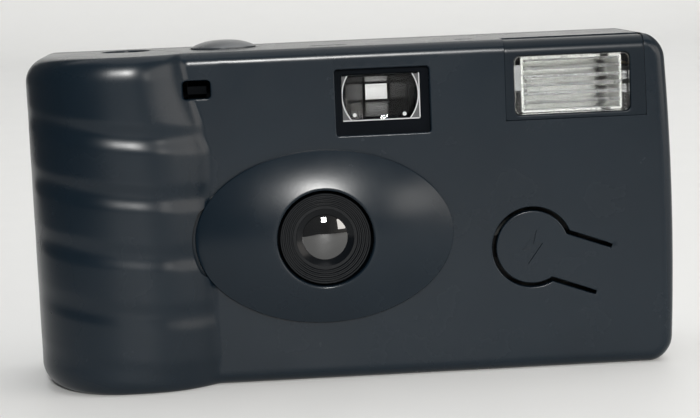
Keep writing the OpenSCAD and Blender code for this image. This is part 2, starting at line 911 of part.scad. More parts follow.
// Cell that stands at the right end
module battery() {
    shoulder_z = battery_z1 - battery_cap_h;
    color(white_color) union() {
        rod_z(battery_r, battery_x, battery_y, battery_z0, shoulder_z);
        rod_z(battery_cap_r, battery_x, battery_y, shoulder_z, battery_z1);
    }
}

// Strip that presses on the cell's cap
module battery_contact_top() {
    x0 = battery_x - strip_half_w;
    y0 = battery_y - 8;
    leg_w = 3;
    leg_l = 6;
    z = battery_z1;
    color(brass_color) union() {
        box([x0, y0, z], [battery_x + strip_half_w, battery_y + strip_half_w, z + strip_t]);
        box([x0, y0, z - leg_l], [x0 + leg_w, y0 + strip_t, z]);
    }
}

// Strip that presses on the cell's base
module battery_contact_bottom() {
    z0 = battery_z0 - strip_t;
    tail_l = 12;
    hole_r = 1.5;
    x = battery_x;
    y = battery_y;
    color(brass_color) difference() {
        union() {
            box([x - strip_half_w, y - strip_half_w, z0], [x + strip_half_w, y + strip_half_w, battery_z0]);
            box([x - tail_l, y - strip_half_w / 2, z0], [x, y + strip_half_w / 2, battery_z0]);
        }
        rod_z(hole_r, x, y, battery_z0 - cut, battery_z0 + cut);
    }
}

// Dark tunnel of the viewfinder with the seat of its front lens
module viewfinder_frame() {
    skin = 0.8;
    corner = 0.4;
    tunnel_w = finder_lens_w - 2 * skin;
    tunnel_h = finder_lens_h - 1.4;
    rear_w = eyepiece_w - 1;
    rear_h = eyepiece_h - skin;
    tunnel_l = 12;
    seat_t = 1;
    end_y = inner_back_y - close_gap;
    waist_y = finder_seat_y + tunnel_l;
    color(black_color) difference() {
        union() {
            slab(finder_y0, finder_seat_y + seat_t)
                finder_rect(finder_w - 2 * close_gap, finder_h - 2 * close_gap, corner);
            slab(finder_seat_y, waist_y)
                finder_rect(tunnel_w + 2 * skin, tunnel_h + 2 * skin, 1.5 * corner);
            slab(waist_y - skin, end_y) finder_rect(rear_w + 2 * skin, rear_h + 2 * skin, 1.5 * corner);
        }
        slab(finder_y0 - cut, finder_seat_y)
            finder_rect(finder_lens_w + 2 * slip, finder_lens_h + 2 * slip, free_gap + slip);
        slab(finder_seat_y - cut, waist_y) finder_rect(tunnel_w, tunnel_h, corner);
        slab(waist_y - cut, end_y + cut) finder_rect(rear_w, rear_h, corner);
    }
}

// Rectangle about the viewfinder's axis
module finder_rect(w, h, r) {
    centred_rect(finder_x, finder_z, w, h, r);
}

// Front lens of the viewfinder, hollowed to a round concave face
module viewfinder_lens() {
    hollow_r = 16.5;
    sag = 1.25;
    color(clear_color) difference() {
        slab(finder_lens_y0, finder_seat_y) finder_rect(finder_lens_w, finder_lens_h, free_gap);
        translate([finder_x, finder_lens_y0 + sag - hollow_r, finder_z]) sphere(hollow_r, $fn = lens_fn);
    }
}

// Small lens at the back of the viewfinder
module eyepiece_lens() {
    face_r = 30;
    w = eyepiece_w - 2 * close_gap;
    h = eyepiece_h - 2 * close_gap;
    color(clear_color) intersection() {
        slab(inner_back_y, eyepiece_y) finder_rect(w, h, eyepiece_corner_r - close_gap);
        translate([finder_x, eyepiece_y - face_r, finder_z]) sphere(face_r, $fn = lens_fn);
    }
}

// Black ring round the lens that steps down to the glass
module lens_ring() {
    ring_r = lens_hole_d / 2 - loose_gap;
    skirt_r = lens_hole_d / 2 - 2;
    skirt_l = 2.4;
    flange_t = 1;
    front = front_y - bulge_proud + 0.8;
    glass_y = front_y - 1.35;
    flange_y = shutter_y - wall - skirt_l;
    steps = 4;
    step_w = 0.65;
    step_d = 0.3;
    rim_w = 0.3;
    bore_r = 4.1;
    seat_r = 4.7;
    cone_r = ring_r - rim_w - step_w * steps;
    color(black_color) translate([lens_x, 0, lens_z]) rotate([-90, 0, 0]) rotate_extrude() polygon(concat(
        [[ring_r, flange_y], [ring_r, front]],
        [
            for (k = [0 : steps - 1]) each
            let (r = ring_r - rim_w - step_w * k)
            [[r, front + step_d * k], [r, front + step_d * (k + 1)]]
        ],
        [
            [cone_r, front + step_d * steps],
            [bore_r, glass_y],
            [bore_r, glass_y + free_gap],
            [seat_r, glass_y + free_gap],
            [seat_r, shutter_y],
            [skirt_r, shutter_y],
            [skirt_r, flange_y + flange_t]
        ]
    ));
}

// Single lens with a convex front and a hollow back
module taking_lens() {
    rim_r = 4.6;
    face_r = 4;
    front_r = 10;
    rear_r = 16;
    hollow = 0.5;
    edge_y0 = front_y - 1;
    edge_y1 = shutter_y - close_gap;
    sag = front_r - sqrt(pow(front_r, 2) - pow(rim_r, 2));
    color(clear_color) difference() {
        union() {
            rod_y(rim_r, lens_x, edge_y0, edge_y1, lens_z);
            intersection() {
                translate([lens_x, edge_y0 - sag + front_r, lens_z]) sphere(front_r);
                rod_y(face_r, lens_x, edge_y0 - sag - cut, edge_y0 + seat_gap, lens_z);
            }
        }
        translate([lens_x, edge_y1 - hollow + rear_r, lens_z]) sphere(rear_r);
    }
}

// Plate behind the lens with the aperture and the blade's pivot
module shutter_plate() {
    disc_r = 9.5;
    ear = 3;
    ear_r = 1;
    y1 = shutter_y + shutter_plate_t;
    color(black_color) union() {
        difference() {
            slab(shutter_y, y1) union() {
                translate([lens_x, lens_z]) circle(disc_r);
                round_rect(blade_pivot_x - ear, lens_x, lens_z, blade_pivot_z + ear, ear_r);
            }
            rod_y(aperture_d / 2, lens_x, shutter_y - cut, y1 + cut, lens_z);
        }
        rod_y(blade_pivot_r, blade_pivot_x, y1 - seat_gap, chassis_y0, blade_pivot_z);
    }
}

// Thin blade that covers the aperture, with a tab for the striker
module shutter_blade() {
    reach = norm([lens_x - blade_pivot_x, lens_z - blade_pivot_z]);
    lean = atan2(lens_z - blade_pivot_z, lens_x - blade_pivot_x);
    hub_r = 2;
    arm_w = 3;
    tab_w = 2;
    cover = 1;
    color(steel_color) difference() {
        slab(blade_y, blade_y + blade_t) union() {
            translate([blade_pivot_x, blade_pivot_z]) {
                circle(hub_r);
                rotate(lean) translate([0, -arm_w / 2]) square([reach, arm_w]);
                translate([-tab_w / 2, 0]) square([tab_w, blade_tab_z - blade_pivot_z]);
            }
            translate([lens_x, lens_z]) circle(aperture_d / 2 + cover);
        }
        rod_y(blade_pivot_r + slip, blade_pivot_x, blade_y - cut, blade_y + cut, blade_pivot_z);
    }
}

// Wire that swings the blade shut
module blade_spring() {
    wire_r = 0.2;
    x = blade_pivot_x + 1.5;
    z0 = blade_pivot_z + 1.8;
    z1 = blade_tab_z - 5;
    y0 = shutter_y + shutter_plate_t;
    y1 = blade_y + blade_t / 2;
    color(steel_color) union() {
        rod_z(wire_r, x, y1, z0, z1);
        rod_y(wire_r, x, y0, y1 + wire_r, z0);
    }
}

// Lever that is cocked by the sprocket's cam and strikes the blade
module striker() {
    hub_r = 2.6;
    tail_l = 7;
    tail_w = 2;
    tail_turn = 150;
    x0 = striker_x - striker_arm_w / 2;
    x1 = striker_x + striker_arm_w / 2;
    tip_y = striker_tip_y;
    color(white_color) difference() {
        union() {
            rod_z(hub_r, striker_x, striker_y, striker_z0, striker_z1);
            box([x0, tip_y, striker_z0], [x1, striker_y, striker_z1]);
            box([x0, tip_y, striker_finger_z], [x1, tip_y + striker_finger_t, striker_z1]);
            translate([striker_x, striker_y, striker_z0]) rotate(tail_turn) translate([0, -tail_w / 2, 0])
                cube([tail_l, tail_w, striker_t]);
        }
        rod_z(striker_post_r + slip, striker_x, striker_y, deck_z0, plate_z0);
    }
}

// Coil round the striker's post, with a straight leg
module striker_spring() {
    coil_r = 2.2;
    wire = 0.5;
    coil_h = 1;
    leg = 0.4;
    leg_l = 6;
    leg_x = striker_x + coil_r - slip - leg;
    z0 = striker_z1 + free_gap;
    leg_z = z0 + seat_gap;
    color(steel_color) union() {
        difference() {
            rod_z(coil_r, striker_x, striker_y, z0, z0 + coil_h);
            rod_z(coil_r - wire, striker_x, striker_y, z0 - cut, z0 + coil_h + cut);
        }
        box([leg_x, striker_y, leg_z], [leg_x + leg, striker_y + leg_l, leg_z + leg]);
    }
}

// Rocker that the shutter button tips
module release_lever() {
    nose = 2.4;
    tail = 1.2;
    pin_over = 1.4;
    x0 = button_x - lever_half_w;
    x1 = button_x + lever_half_w;
    color(white_color) union() {
        box([x0, lever_y - nose, lever_z0], [x1, peg_y + tail, lever_z1]);
        rod_x(lever_pin_r, x0 - pin_over, x1 + pin_over, lever_y, (lever_z0 + lever_z1) / 2);
    }
}

// Domed button in the top, with the peg that presses the release lever
module shutter_button() {
    skirt_t = 1.2;
    roof_drop = 0.4;
    dome_ease = 0.6;
    hook_half = 1.5;
    hook_out = 1;
    hook_rise = 0.5;
    hook_h = 0.7;
    hook_in = 0.3;
    z1 = body_h + button_proud;
    y0 = button_y - button_r;
    hook_y1 = y0 + skirt_t;
    dome_r = (button_r * button_r + button_proud * button_proud) / (2 * button_proud) + dome_ease;
    color(cover_color) union() {
        difference() {
            intersection() {
                rod_z(button_r, button_x, button_y, button_z0, z1);
                translate([button_x, button_y, z1 - dome_r]) sphere(dome_r);
            }
            rod_z(button_r - skirt_t, button_x, button_y, button_z0 - cut, body_h - roof_drop);
        }
        rod_z(peg_r, button_x, peg_y, peg_z0, body_h);
        box([button_x - hook_half, y0 - hook_out, button_z0 - hook_h],
            [button_x + hook_half, hook_y1, button_z0]);
        box([button_x - hook_half, y0 + hook_in, button_z0 - hook_h],
            [button_x + hook_half, hook_y1, button_z0 + hook_rise]);
    }
}

// Turn about the spool's axis
module about_spool(a) {
    translate([spool_x, spool_y, 0]) rotate(a) translate([-spool_x, -spool_y, 0]) children();
}

// Knurled wheel at the back, with the fork that turns the cassette's spool
module thumbwheel() {
    knurls = 60;
    knurl_r = 0.45;
    fork_z0 = cassette_z1 - fork_depth;
    slot_z1 = wheel_z0 - 0.8;
    color(black_color) difference() {
        union() {
            rod_z(wheel_r, spool_x, spool_y, wheel_z0, wheel_z1);
            rod_z(wheel_pin_r, spool_x, spool_y, wheel_z1, plate_z1 - close_gap);
            rod_z(fork_r, spool_x, spool_y, fork_z0, wheel_z0);
        }
        for (k = [0 : knurls - 1]) about_spool(360 * (k + 0.5) / knurls)
            rod_z(knurl_r, spool_x + wheel_r + close_gap, spool_y, wheel_z0 - cut, wheel_z1 + cut);
        box([spool_x - fork_r - cut, spool_y - fork_slot / 2, fork_z0 - cut],
            [spool_x + fork_r + cut, spool_y + fork_slot / 2, slot_z1]);
    }
}

// Springy pawl that stops the wheel from turning back
module wheel_pawl() {
    foot_w = 2;
    foot_d = 1.8;
    arm_l = 5;
    arm_t = 0.7;
    arm_root = 0.6;
    arm_turn = 105;
    x = sprocket_x - 3.2;
    y = gate_y1 - foot_d;
    z0 = striker_z1 + free_gap;
    color(white_color) union() {
        box([x, y, deck_z1], [x + foot_w, gate_y1, wheel_z1]);
        translate([x, y, z0]) rotate(arm_turn) translate([arm_root - arm_l, -arm_t, 0])
            cube([arm_l, arm_t, wheel_z1 - z0]);
    }
}

// Toothed wheel in the film's edge, with its shaft, cam and counter finger
module sprocket() {
    cam_r = 2.6;
    cam_throw = 0.8;
    tooth_in = 0.5;
    color(white_color) translate([sprocket_x, sprocket_y, 0]) union() {
        rod_z(sprocket_r, 0, 0, sprocket_z0, sprocket_z1);
        for (k = [0 : teeth - 1]) rotate(360 * k / teeth)
            box([0, -tooth_w / 2, sprocket_z0 + tooth_in],
                [sprocket_tip_r, tooth_w / 2, sprocket_z1 - tooth_in]);
        rod_z(shaft_r, 0, 0, sprocket_z1, dial_z0 + finger_t);
        rod_z(stub_r, 0, 0, bearing_z0 + turn_gap, sprocket_z0);
        rod_z(cam_r, cam_throw, 0, striker_z0, striker_z1);
        box([0, -finger_w / 2, dial_z0], [finger_reach, finger_w / 2, dial_z0 + finger_t]);
    }
}

// Toothed disc with the frame numbers
module counter_dial() {
    notch_z1 = dial_z0 + finger_t + side_gap;
    color(black_color) difference() {
        rod_z(dial_r, dial_x, dial_y, dial_z0, dial_z1);
        rod_z(dial_post_r + slip, dial_x, dial_y, dial_z0 - cut, dial_z1 + cut);
        for (k = [0 : dial_teeth - 1]) translate([dial_x, dial_y, 0]) rotate(360 * k / dial_teeth)
            rod_z(dial_notch_r, dial_r + slip, 0, dial_z0 - cut, notch_z1);
    }
}

// Clear disc over the frame numbers
module counter_window() {
    color(clear_color) rod_z(counter_r, counter_x, counter_y, ceiling_z - seat_gap, body_h - free_gap);
}

// Plate over the wheel and the levers that carries the counter dial
module mechanism_plate() {
    corner = 1.5;
    post_r = 1.4;
    post_in = 2.2;
    x0 = spool_x - 8;
    x1 = lens_x - 0.7;
    y0 = lever_y - 1.5;
    y1 = dial_y + 5;
    color(chassis_color) difference() {
        union() {
            deck(plate_z0, plate_z1) round_rect(x0, x1, y0, y1, corner);
            rod_z(dial_post_r, dial_x, dial_y, plate_z1, dial_z1);
            for (y = [y0 + post_in, y1 - post_in]) rod_z(post_r, x1 - post_in, y, deck_z1, plate_z0);
        }
        plate_hole(wheel_pin_r + slip, spool_x, spool_y);
        plate_hole(shaft_r + slip, sprocket_x, sprocket_y);
        plate_hole(peg_r + seat_gap, button_x, peg_y);
        plate_hole(striker_post_r, striker_x, striker_y);
    }
}

// Round hole through the mechanism plate
module plate_hole(r, x, y) {
    rod_z(r, x, y, plate_z0 - cut, plate_z1 + cut);
}

// Walls of the chassis on both sides of the light baffle, its floor and its deck
module chassis_walls(x0, x1, deck_x1) {
    for (y = [[gate_y0, gate_y1], [chassis_y0, chassis_y1]]) {
        box([x0, y[0], floor_z0], [x1, y[1], finder_under_z]);
        box([x0, y[0], finder_under_z], [deck_x1, y[1], deck_z1]);
    }
    box([x0, chassis_y0, floor_z0], [x1, gate_y1, floor_z1]);
    box([spool_x, chassis_y0, deck_z0], [deck_x1, gate_y1, deck_z1]);
}

// Round bay of the cassette, open towards the film gate
module cassette_bay(x1) {
    bay_r = cassette_r + loose_gap;
    bay_t = 1;
    mouth = 5;
    rib_t = 1.2;
    rib_y = spool_y - 3;
    z0 = corner_r - 0.5;
    rod_z(bay_r + bay_t, spool_x, spool_y, deck_z0, deck_z1);
    difference() {
        rod_z(bay_r + bay_t, spool_x, spool_y, z0, deck_z1);
        rod_z(bay_r, spool_x, spool_y, z0 - cut, deck_z0);
        box([spool_x + mouth, spool_y, z0 - cut], [x1, back_y, deck_z0]);
    }
    box([spool_x + bay_r, rib_y, floor_z0], [x1 + bay_t, rib_y + rib_t, deck_z1]);
    box([x1, chassis_y0, floor_z0], [x1 + bay_t, rib_y + rib_t, deck_z1]);
}

// Round bay of the supply spool, open towards the film gate
module supply_bay(x0) {
    cap_t = 1;
    mouth = 2;
    foot = 5;
    rib_t = 1.2;
    rib_y = roll_y - 4;
    z0 = roll_z0 - free_gap;
    z1 = roll_z1 + free_gap;
    difference() {
        rod_z(roll_bay_r + roll_bay_t, roll_x, roll_y, z0 - cap_t, z1 + cap_t);
        rod_z(roll_bay_r, roll_x, roll_y, z0, z1);
        box([x0, roll_y + mouth, z0], [roll_x, back_y, z1]);
    }
    box([x0, rib_y, floor_z0], [roll_x, rib_y + rib_t, floor_z1]);
    box([roll_x - foot, roll_y - foot, floor_z0], [roll_x + foot, roll_y + foot, z0]);
}

// Hook behind the front window, latch under the top slot, posts and bearing
module chassis_fittings(deck_x1) {
    latch_y = slot_y - latch_t / 2;
    post_half = 1.4;
    bearing_half = 2.4;
    box([hook_x0, chassis_y0, deck_z0], [hook_x1, chassis_y1, hook_z1]);
    box([hook_x0, inner_front_y + free_gap, hook_z0], [hook_x1, chassis_y1, hook_z1]);
    box([lens_x + close_gap, latch_y, deck_z0], [deck_x1, latch_y + latch_t, body_h - 0.5]);
    rod_z(striker_post_r, striker_x, striker_y, deck_z0, plate_z0 + plate_t / 2);
    for (x = lever_posts)
        box([x, lever_y - post_half, deck_z0], [x + lever_post_t, lever_y + post_half, lever_z1 + 0.5]);
    box([sprocket_x - bearing_half, sprocket_y - bearing_half, bearing_z0],
        [sprocket_x + bearing_half, gate_y0 + close_gap, bearing_z1]);
}

// Left sides of the two posts that carry the release lever
lever_posts = [for (s = [-1, 1]) button_x + s * (lever_half_w + 1) - lever_post_t / 2];

// Way of the striker's finger through the chassis
module striker_way() {
    outer = striker_y - striker_tip_y + 0.8;
    inner = striker_y - striker_tip_y - striker_finger_t - 0.5;
    side = 8.4;
    intersection() {
        difference() {
            rod_z(outer, striker_x, striker_y, striker_finger_z - free_gap, body_h);
            rod_z(inner, striker_x, striker_y, 0, body_h);
        }
        box([striker_x - side, chassis_y0 - cut, 0], [striker_x + 2, striker_y - 5, body_h]);
    }
}

// Main moulding: film gate, shutter wall, deck, film bays and snap hooks
module chassis() {
    gate_x0 = spool_x + cassette_r + 0.9;
    gate_x1 = lens_x + frame_w / 2 + 4;
    deck_x1 = finder_x - finder_w / 2 - 1.3;
    light_r = 6.5;
    spool_hole_r = 4.5;
    far = body_w / 2;
    tip_r = sprocket_tip_r + turn_gap;
    color(chassis_color) difference() {
        union() {
            chassis_walls(gate_x0, gate_x1, deck_x1);
            cassette_bay(gate_x0);
            supply_bay(gate_x1 - 1);
            chassis_fittings(deck_x1);
        }
        box([lens_x - frame_w / 2, gate_y0 - cut, lens_z - frame_h / 2],
            [lens_x + frame_w / 2, gate_y1 + cut, lens_z + frame_h / 2]);
        striker_way();
        rod_y(light_r, lens_x, chassis_y0 - cut, chassis_y1 + cut, lens_z);
        rod_z(spool_hole_r, spool_x, spool_y, deck_z0 - cut, deck_z1 + cut);
        box([-far, inner_back_y - 0.5, 0], [far, back_y + cut, body_h]);
        rod_z(tip_r, sprocket_x, sprocket_y, sprocket_z0 - turn_gap, sprocket_z1 + turn_gap);
        rod_z(shaft_r + slip, sprocket_x, sprocket_y, deck_z0 - cut, deck_z1 + cut);
        rod_z(stub_r + slip, sprocket_x, sprocket_y, bearing_z0 - cut, bearing_z1 + cut);
        rod_z(roll_pin_r + slip, roll_x, roll_y, floor_z1, roll_z1 + 2 * cut);
        for (x = lever_posts) rod_x(lever_pin_r + slip, x - slip, x + lever_post_t + slip,
            lever_y, (lever_z0 + lever_z1) / 2);
        rod_y(blade_pivot_r + slip, blade_pivot_x, chassis_y0 - cut, chassis_y0 + free_gap, blade_pivot_z);
    }
}

// Tapered tunnel from the shutter to the film gate
module light_baffle() {
    skin = 0.8;
    front_w = 9;
    y0 = chassis_y1 + slip;
    y1 = gate_y0 - slip;
    color(black_color) difference() {
        tunnel(front_w + 2 * skin, front_w + 2 * skin, y0, frame_w + 2 * skin, frame_h + 2 * skin, y1);
        tunnel(front_w, front_w, y0 - slip, frame_w, frame_h, y1 + slip);
    }
}

// Block that widens from one rectangle to another about the lens axis
module tunnel(w0, h0, y0, w1, h1, y1) {
    points = [
        for (e = [[w0, h0, y0], [w1, h1, y1]], s = [[-1, -1], [1, -1], [1, 1], [-1, 1]])
        [lens_x + s[0] * e[0] / 2, e[2], lens_z + s[1] * e[1] / 2]
    ];
    sides = [for (i = [0 : 3]) let (j = (i + 1) % 4) [i, j, 4 + j, 4 + i]];
    polyhedron(points, concat([[3, 2, 1, 0], [4, 5, 6, 7]], sides));
}

// Metal can of the film cassette with its light-tight lip
module cassette_shell() {
    skin = 0.6;
    cap_t = 0.8;
    hole_r = 4.4;
    lip_x0 = spool_x + 5;
    lip_x1 = sprocket_x - sprocket_tip_r + 0.6;
    lip_half = 1;
    color(black_color) difference() {
        union() {
            rod_z(cassette_r, spool_x, spool_y, cassette_z0, cassette_z1);
            box([lip_x0, film_y - lip_half, film_z0 - lip_half],
                [lip_x1, film_y + lip_half, film_z1 + lip_half]);
        }
        rod_z(cassette_r - skin, spool_x, spool_y, cassette_z0 + cap_t, cassette_z1 - cap_t);
        rod_z(hole_r, spool_x, spool_y, cassette_z0 - cut, cassette_z1 + cut);
        box([spool_x, film_y - free_gap, film_z0 - free_gap],
            [lip_x1 + cut, film_y + free_gap, film_z1 + free_gap]);
    }
}

// Spool inside the cassette with the film that is already wound on it
module cassette_spool() {
    wound_r = 6;
    end_r = 4.2;
    end_over = 0.4;
    web_t = fork_slot - turn_gap;
    web_in = 1;
    bore_z0 = cassette_z1 - fork_depth - loose_gap;
    color(film_color) union() {
        rod_z(wound_r, spool_x, spool_y, film_z0, film_z1);
        rod_z(end_r, spool_x, spool_y, cassette_z0 + free_gap, film_z0);
        difference() {
            rod_z(end_r, spool_x, spool_y, film_z1, cassette_z1 + end_over);
            rod_z(fork_bore_r, spool_x, spool_y, bore_z0, cassette_z1 + cut);
        }
        box([spool_x - fork_bore_r - free_gap, spool_y - web_t / 2, bore_z0 - seat_gap],
            [spool_x + fork_bore_r + free_gap, spool_y + web_t / 2, cassette_z1 - web_in]);
    }
}

// Film across the gate with its two rows of perforations
module film_strip() {
    x0 = spool_x + 9;
    count = floor((roll_x - x0) / perf_pitch) - 1;
    color(film_color) difference() {
        box([x0, film_y - film_t / 2, film_z0], [roll_x, film_y + film_t / 2, film_z1]);
        for (k = [0 : count], z = [film_z0 + perf_inset, film_z1 - perf_inset - perf_h]) {
            x = x0 + perf_pitch * (k + 0.5);
            box([x, film_y - cut, z], [x + perf_w, film_y + cut, z + perf_h]);
        }
    }
}

// Unused film on the supply spool
module film_roll() {
    color(film_color) difference() {
        rod_z(roll_r, roll_x, roll_y, film_z0, film_z1);
        rod_z(roll_core_r + slip, roll_x, roll_y, film_z0 - cut, film_z1 + cut);
    }
}

// Flanged spool that the film is drawn from
module supply_spool() {
    flange_r = roll_bay_r - loose_gap;
    pin_l = 1.2;
    color(white_color) union() {
        rod_z(roll_core_r, roll_x, roll_y, roll_z0, roll_z1);
        rod_z(flange_r, roll_x, roll_y, roll_z0, roll_z0 + roll_flange_t);
        rod_z(flange_r, roll_x, roll_y, roll_z1 - roll_flange_t, roll_z1);
        rod_z(roll_pin_r, roll_x, roll_y, roll_z0 - pin_l, roll_z1 + pin_l);
    }
}

front_cover();
rear_cover();
film_door();
flash_button();
flash_bezel();
flash_window();
flash_reflector();
flash_tube();
tube_leads();
flash_board();
flash_capacitor();
flash_transformer();
charge_contact();
sync_contact();
neon_lamp();
ready_light_pipe();
battery();
battery_contact_top();
battery_contact_bottom();
viewfinder_frame();
viewfinder_lens();
eyepiece_lens();
lens_ring();
taking_lens();
shutter_plate();
shutter_blade();
blade_spring();
striker();
striker_spring();
release_lever();
shutter_button();
thumbwheel();
wheel_pawl();
sprocket();
counter_dial();
counter_window();
mechanism_plate();
chassis();
light_baffle();
cassette_shell();
cassette_spool();
film_strip();
film_roll();
supply_spool();
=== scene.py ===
"""Looks of a disposable film camera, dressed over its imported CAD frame."""

import math

import bmesh
import bpy
import numpy as np
from mathutils import Matrix, Vector
from mathutils.geometry import delaunay_2d_cdt
from mathutils.kdtree import KDTree


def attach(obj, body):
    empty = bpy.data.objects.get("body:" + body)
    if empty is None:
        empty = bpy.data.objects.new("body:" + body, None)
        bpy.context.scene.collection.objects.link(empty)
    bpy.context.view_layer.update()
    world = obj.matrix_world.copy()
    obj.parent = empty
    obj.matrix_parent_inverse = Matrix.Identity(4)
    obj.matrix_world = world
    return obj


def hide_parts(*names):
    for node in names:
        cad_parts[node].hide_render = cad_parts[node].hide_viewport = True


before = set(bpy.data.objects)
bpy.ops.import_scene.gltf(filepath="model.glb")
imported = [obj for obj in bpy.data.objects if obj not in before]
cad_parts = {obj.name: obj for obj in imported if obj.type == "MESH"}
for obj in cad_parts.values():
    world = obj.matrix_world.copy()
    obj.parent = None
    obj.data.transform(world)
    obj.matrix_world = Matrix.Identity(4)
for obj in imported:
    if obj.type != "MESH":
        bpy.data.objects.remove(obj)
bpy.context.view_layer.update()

MM = 0.001
WELD = 0.002

# Covers, in millimetres
BODY_W, BODY_H = 117.0, 60.5
LEFT_X, RIGHT_X = -58.5, 58.5
FRONT_Y, BACK_Y, SEAM_Y = -12.65, 17.35, 12.0
WALL = 1.5
CORNER_R, EDGE_R = 4.5, 2.3
STRETCH = (math.pi / 2 - 1) * EDGE_R
SEAM_BEVEL, SEAM_IN, SEAM_GAP = 0.3, 0.24, 0.02
BOW_R, BOW_Z, BOW_REACH = 471.0, 26.0, 8.0

# Grip with its finger grooves
CREST_X = -41.0
WRAP = 27.9
GRIP_PROUD, GRIP_DEPTH, SIDE_POWER = 5.6, 18.0, 2.35
FLANK_W, FLANK_TOP_W, FLANK_POWER = 15.0, 11.7, 2.8
TAPER_Z0, TAPER_Z1 = 42.0, 58.0
GRIP_EDGE_H, GRIP_EDGE_D = 4.6, 2.2
GROOVE_PITCH, GROOVE_FIRST, GROOVE_HALF = 10.65, 4.05, 2.9
GROOVE_DEPTHS = (0.22, 0.20, 0.25, 0.32, 0.36)
GROOVE_TILT, GROOVE_BEND, GROOVE_SWELL = 0.13, 0.0035, 0.025
CREASE_SOFT, CREASE_CLEAR = 1.0, 0.7
CREASE_LINES = (-0.6, -0.3, 0.0, 0.3, 0.6)
GRIP_END_X = -23.0
WRAP_STEP, FLANK_STEP, ROW_STEP, PANEL_STEP, OUTLINE_STEP = 0.5, 0.42, 0.45, 3.0, 1.5

# Lens and its bulge
LENS_X, LENS_Z = -5.6, 26.5
BULGE_W, BULGE_H, BULGE_RISE, BULGE_STEP = 46.7, 31.4, 3.75, 0.95
BULGE_HUB = 8.05
LENS_HOLE_R, LENS_EDGE_R = 8.65, 0.5
RIM_R, RIM_LAND, RIM_FLOOR, HOLE_FLOOR = 0.16, 0.1, 0.6, 1.0
MOAT_W, MOAT_R, MOAT_FLOOR = 0.55, 0.3, 0.3
RING_R, RING_FACE_Y, RING_BACK_Y = 8.05, -15.85, -11.0
RING_STEPS, RING_STEP_W, RING_STEP_D, RING_LAND, RING_SOFT = 4, 0.65, 0.3, 0.3, 0.14
RIDGE_H, RIDGE_OUT, RIDGE_IN = 0.07, 0.42, 0.3
SEAT = [(4.1, -14.0), (4.1, -13.0), (4.7, -13.0), (4.7, -10.9)]
LENS_FRONT_R, LENS_BACK_R, LENS_RIM_R, FLANGE_R = 12.5, 16.0, 4.05, 4.6
LENS_FRONT_Y, LENS_BACK_Y, FLANGE_Y0, FLANGE_Y1 = -14.75, -11.5, -12.9, -11.0

# Viewfinder
FINDER_X, FINDER_Z, FINDER_W, FINDER_H = 5.85, 50.45, 17.0, 11.9
FINDER_HOLE, FINDER_LIP = (FINDER_X, FINDER_Z, FINDER_W, FINDER_H, 0.5), 0.3
FINDER_FACE_Y = FRONT_Y + 1.1
FINDER_LENS_Y = FINDER_FACE_Y + 0.3
GLASS_X, GLASS_Z, GLASS_W, GLASS_H, GLASS_T = 5.7, 51.1, 14.05, 8.35, 2.7
HOLLOW_X, HOLLOW_Z, HOLLOW_R, HOLLOW_EDGE_R = 5.55, 51.5, 19.0, 6.8
MASK_X, MASK_Z, MASK_W, MASK_H, MASK_Y, MASK_LAND = 6.35, 50.7, 5.2, 3.67, 11.0, 0.8
MASK_T, MASK_BACK_LAND = 0.8, 1.6
EYE_W, EYE_H = 11.0, 8.4
TUNNEL_SLIP, TUNNEL_W, TUNNEL_H = 0.04, EYE_W - 1.0, EYE_H - 0.8
# The viewfinder lens's white lines and nib spots are painted glints: along the hollow's edge, the bottom and
# right edges, and on two nibs.
GLINT_LINE, EDGE_LIFT, LENS_GAP = 0.2, 0.01, 0.02
NIB_GLINTS, NIB_GLINT_R = [(0.82, 48.0), (9.84, 47.9)], 0.36

# Flash insert
BEZEL_X0, BEZEL_X1, BEZEL_Z0, BEZEL_DEPTH, BEZEL_IN = 28.05, 53.9, 45.8, 6.0, 0.25
BEZEL_EDGE_R, BEZEL_CORNER_R, BEZEL_T = 0.14, 0.4, 1.2
NOTCH_GAP, NOTCH_STEP = 0.015, 0.6
FLASH_X, FLASH_Z, FLASH_W, FLASH_H = 40.3, 52.05, 20.8, 10.5
WINDOW_Y0, WINDOW_T, WINDOW_CORNER_R, WINDOW_EDGE_R = -12.7, 1.1, 1.0, 0.25
RIB_COUNT, RIB_H, RIB_W, RIB_SPAN = 6, 0.6, 17.6, 9.3
REFLECTOR_W, REFLECTOR_H, REFLECTOR_Y0 = 18.3, 10.0, -11.1
BOWL_Y, BOWL_R, END_SLANT = -8.9, 4.6, 1.5
EAR_DROP, EAR_RISE, EAR_Y0, EAR_Y1 = 1.0, 3.6, REFLECTOR_Y0 + 0.3, REFLECTOR_Y0 + 0.8
TUBE_Y, TUBE_R, TUBE_BORE, TUBE_HALF, TUBE_SOFT, TUBE_END = -7.5, 1.6, 1.1, 9.75, 0.3, 0.9
ELECTRODES, ELECTRODE_R, ELECTRODE_TIP, ELECTRODE_SOFT = [(32.3, 32.5), (45.6, 47.4)], 1.0, 0.6, 0.2
LEAD_R, LEAD_OUT, LEAD_BEND, LEAD_Z0 = 0.22, 0.8, 0.7, 44.0
CLIPS, CLIP_W, CLIP_IN, CLIP_Y0, CLIP_Y1 = [(52.3, 53.9), (50.0, 51.5)], 0.9, 0.6, -10.7, -10.2

# Flash button
CHARGE_X, CHARGE_Z, CHARGE_R, CHARGE_SLOT = 32.2, 22.6, 6.65, 0.75
CHARGE_LEAN, TONGUE_W, TONGUE_ROOT, TONGUE_FADE = math.radians(-20.0), 8.3, 13.9, 1.2
CHARGE_EDGE_R = 0.22
BOLT = [(0.9, 3.2), (-1.9, -0.4), (-0.2, -0.4), (-0.9, -3.2), (1.9, 0.6), (0.2, 0.6)]
BOLT_DEPTH, BOLT_DRAFT = 0.25, 0.06

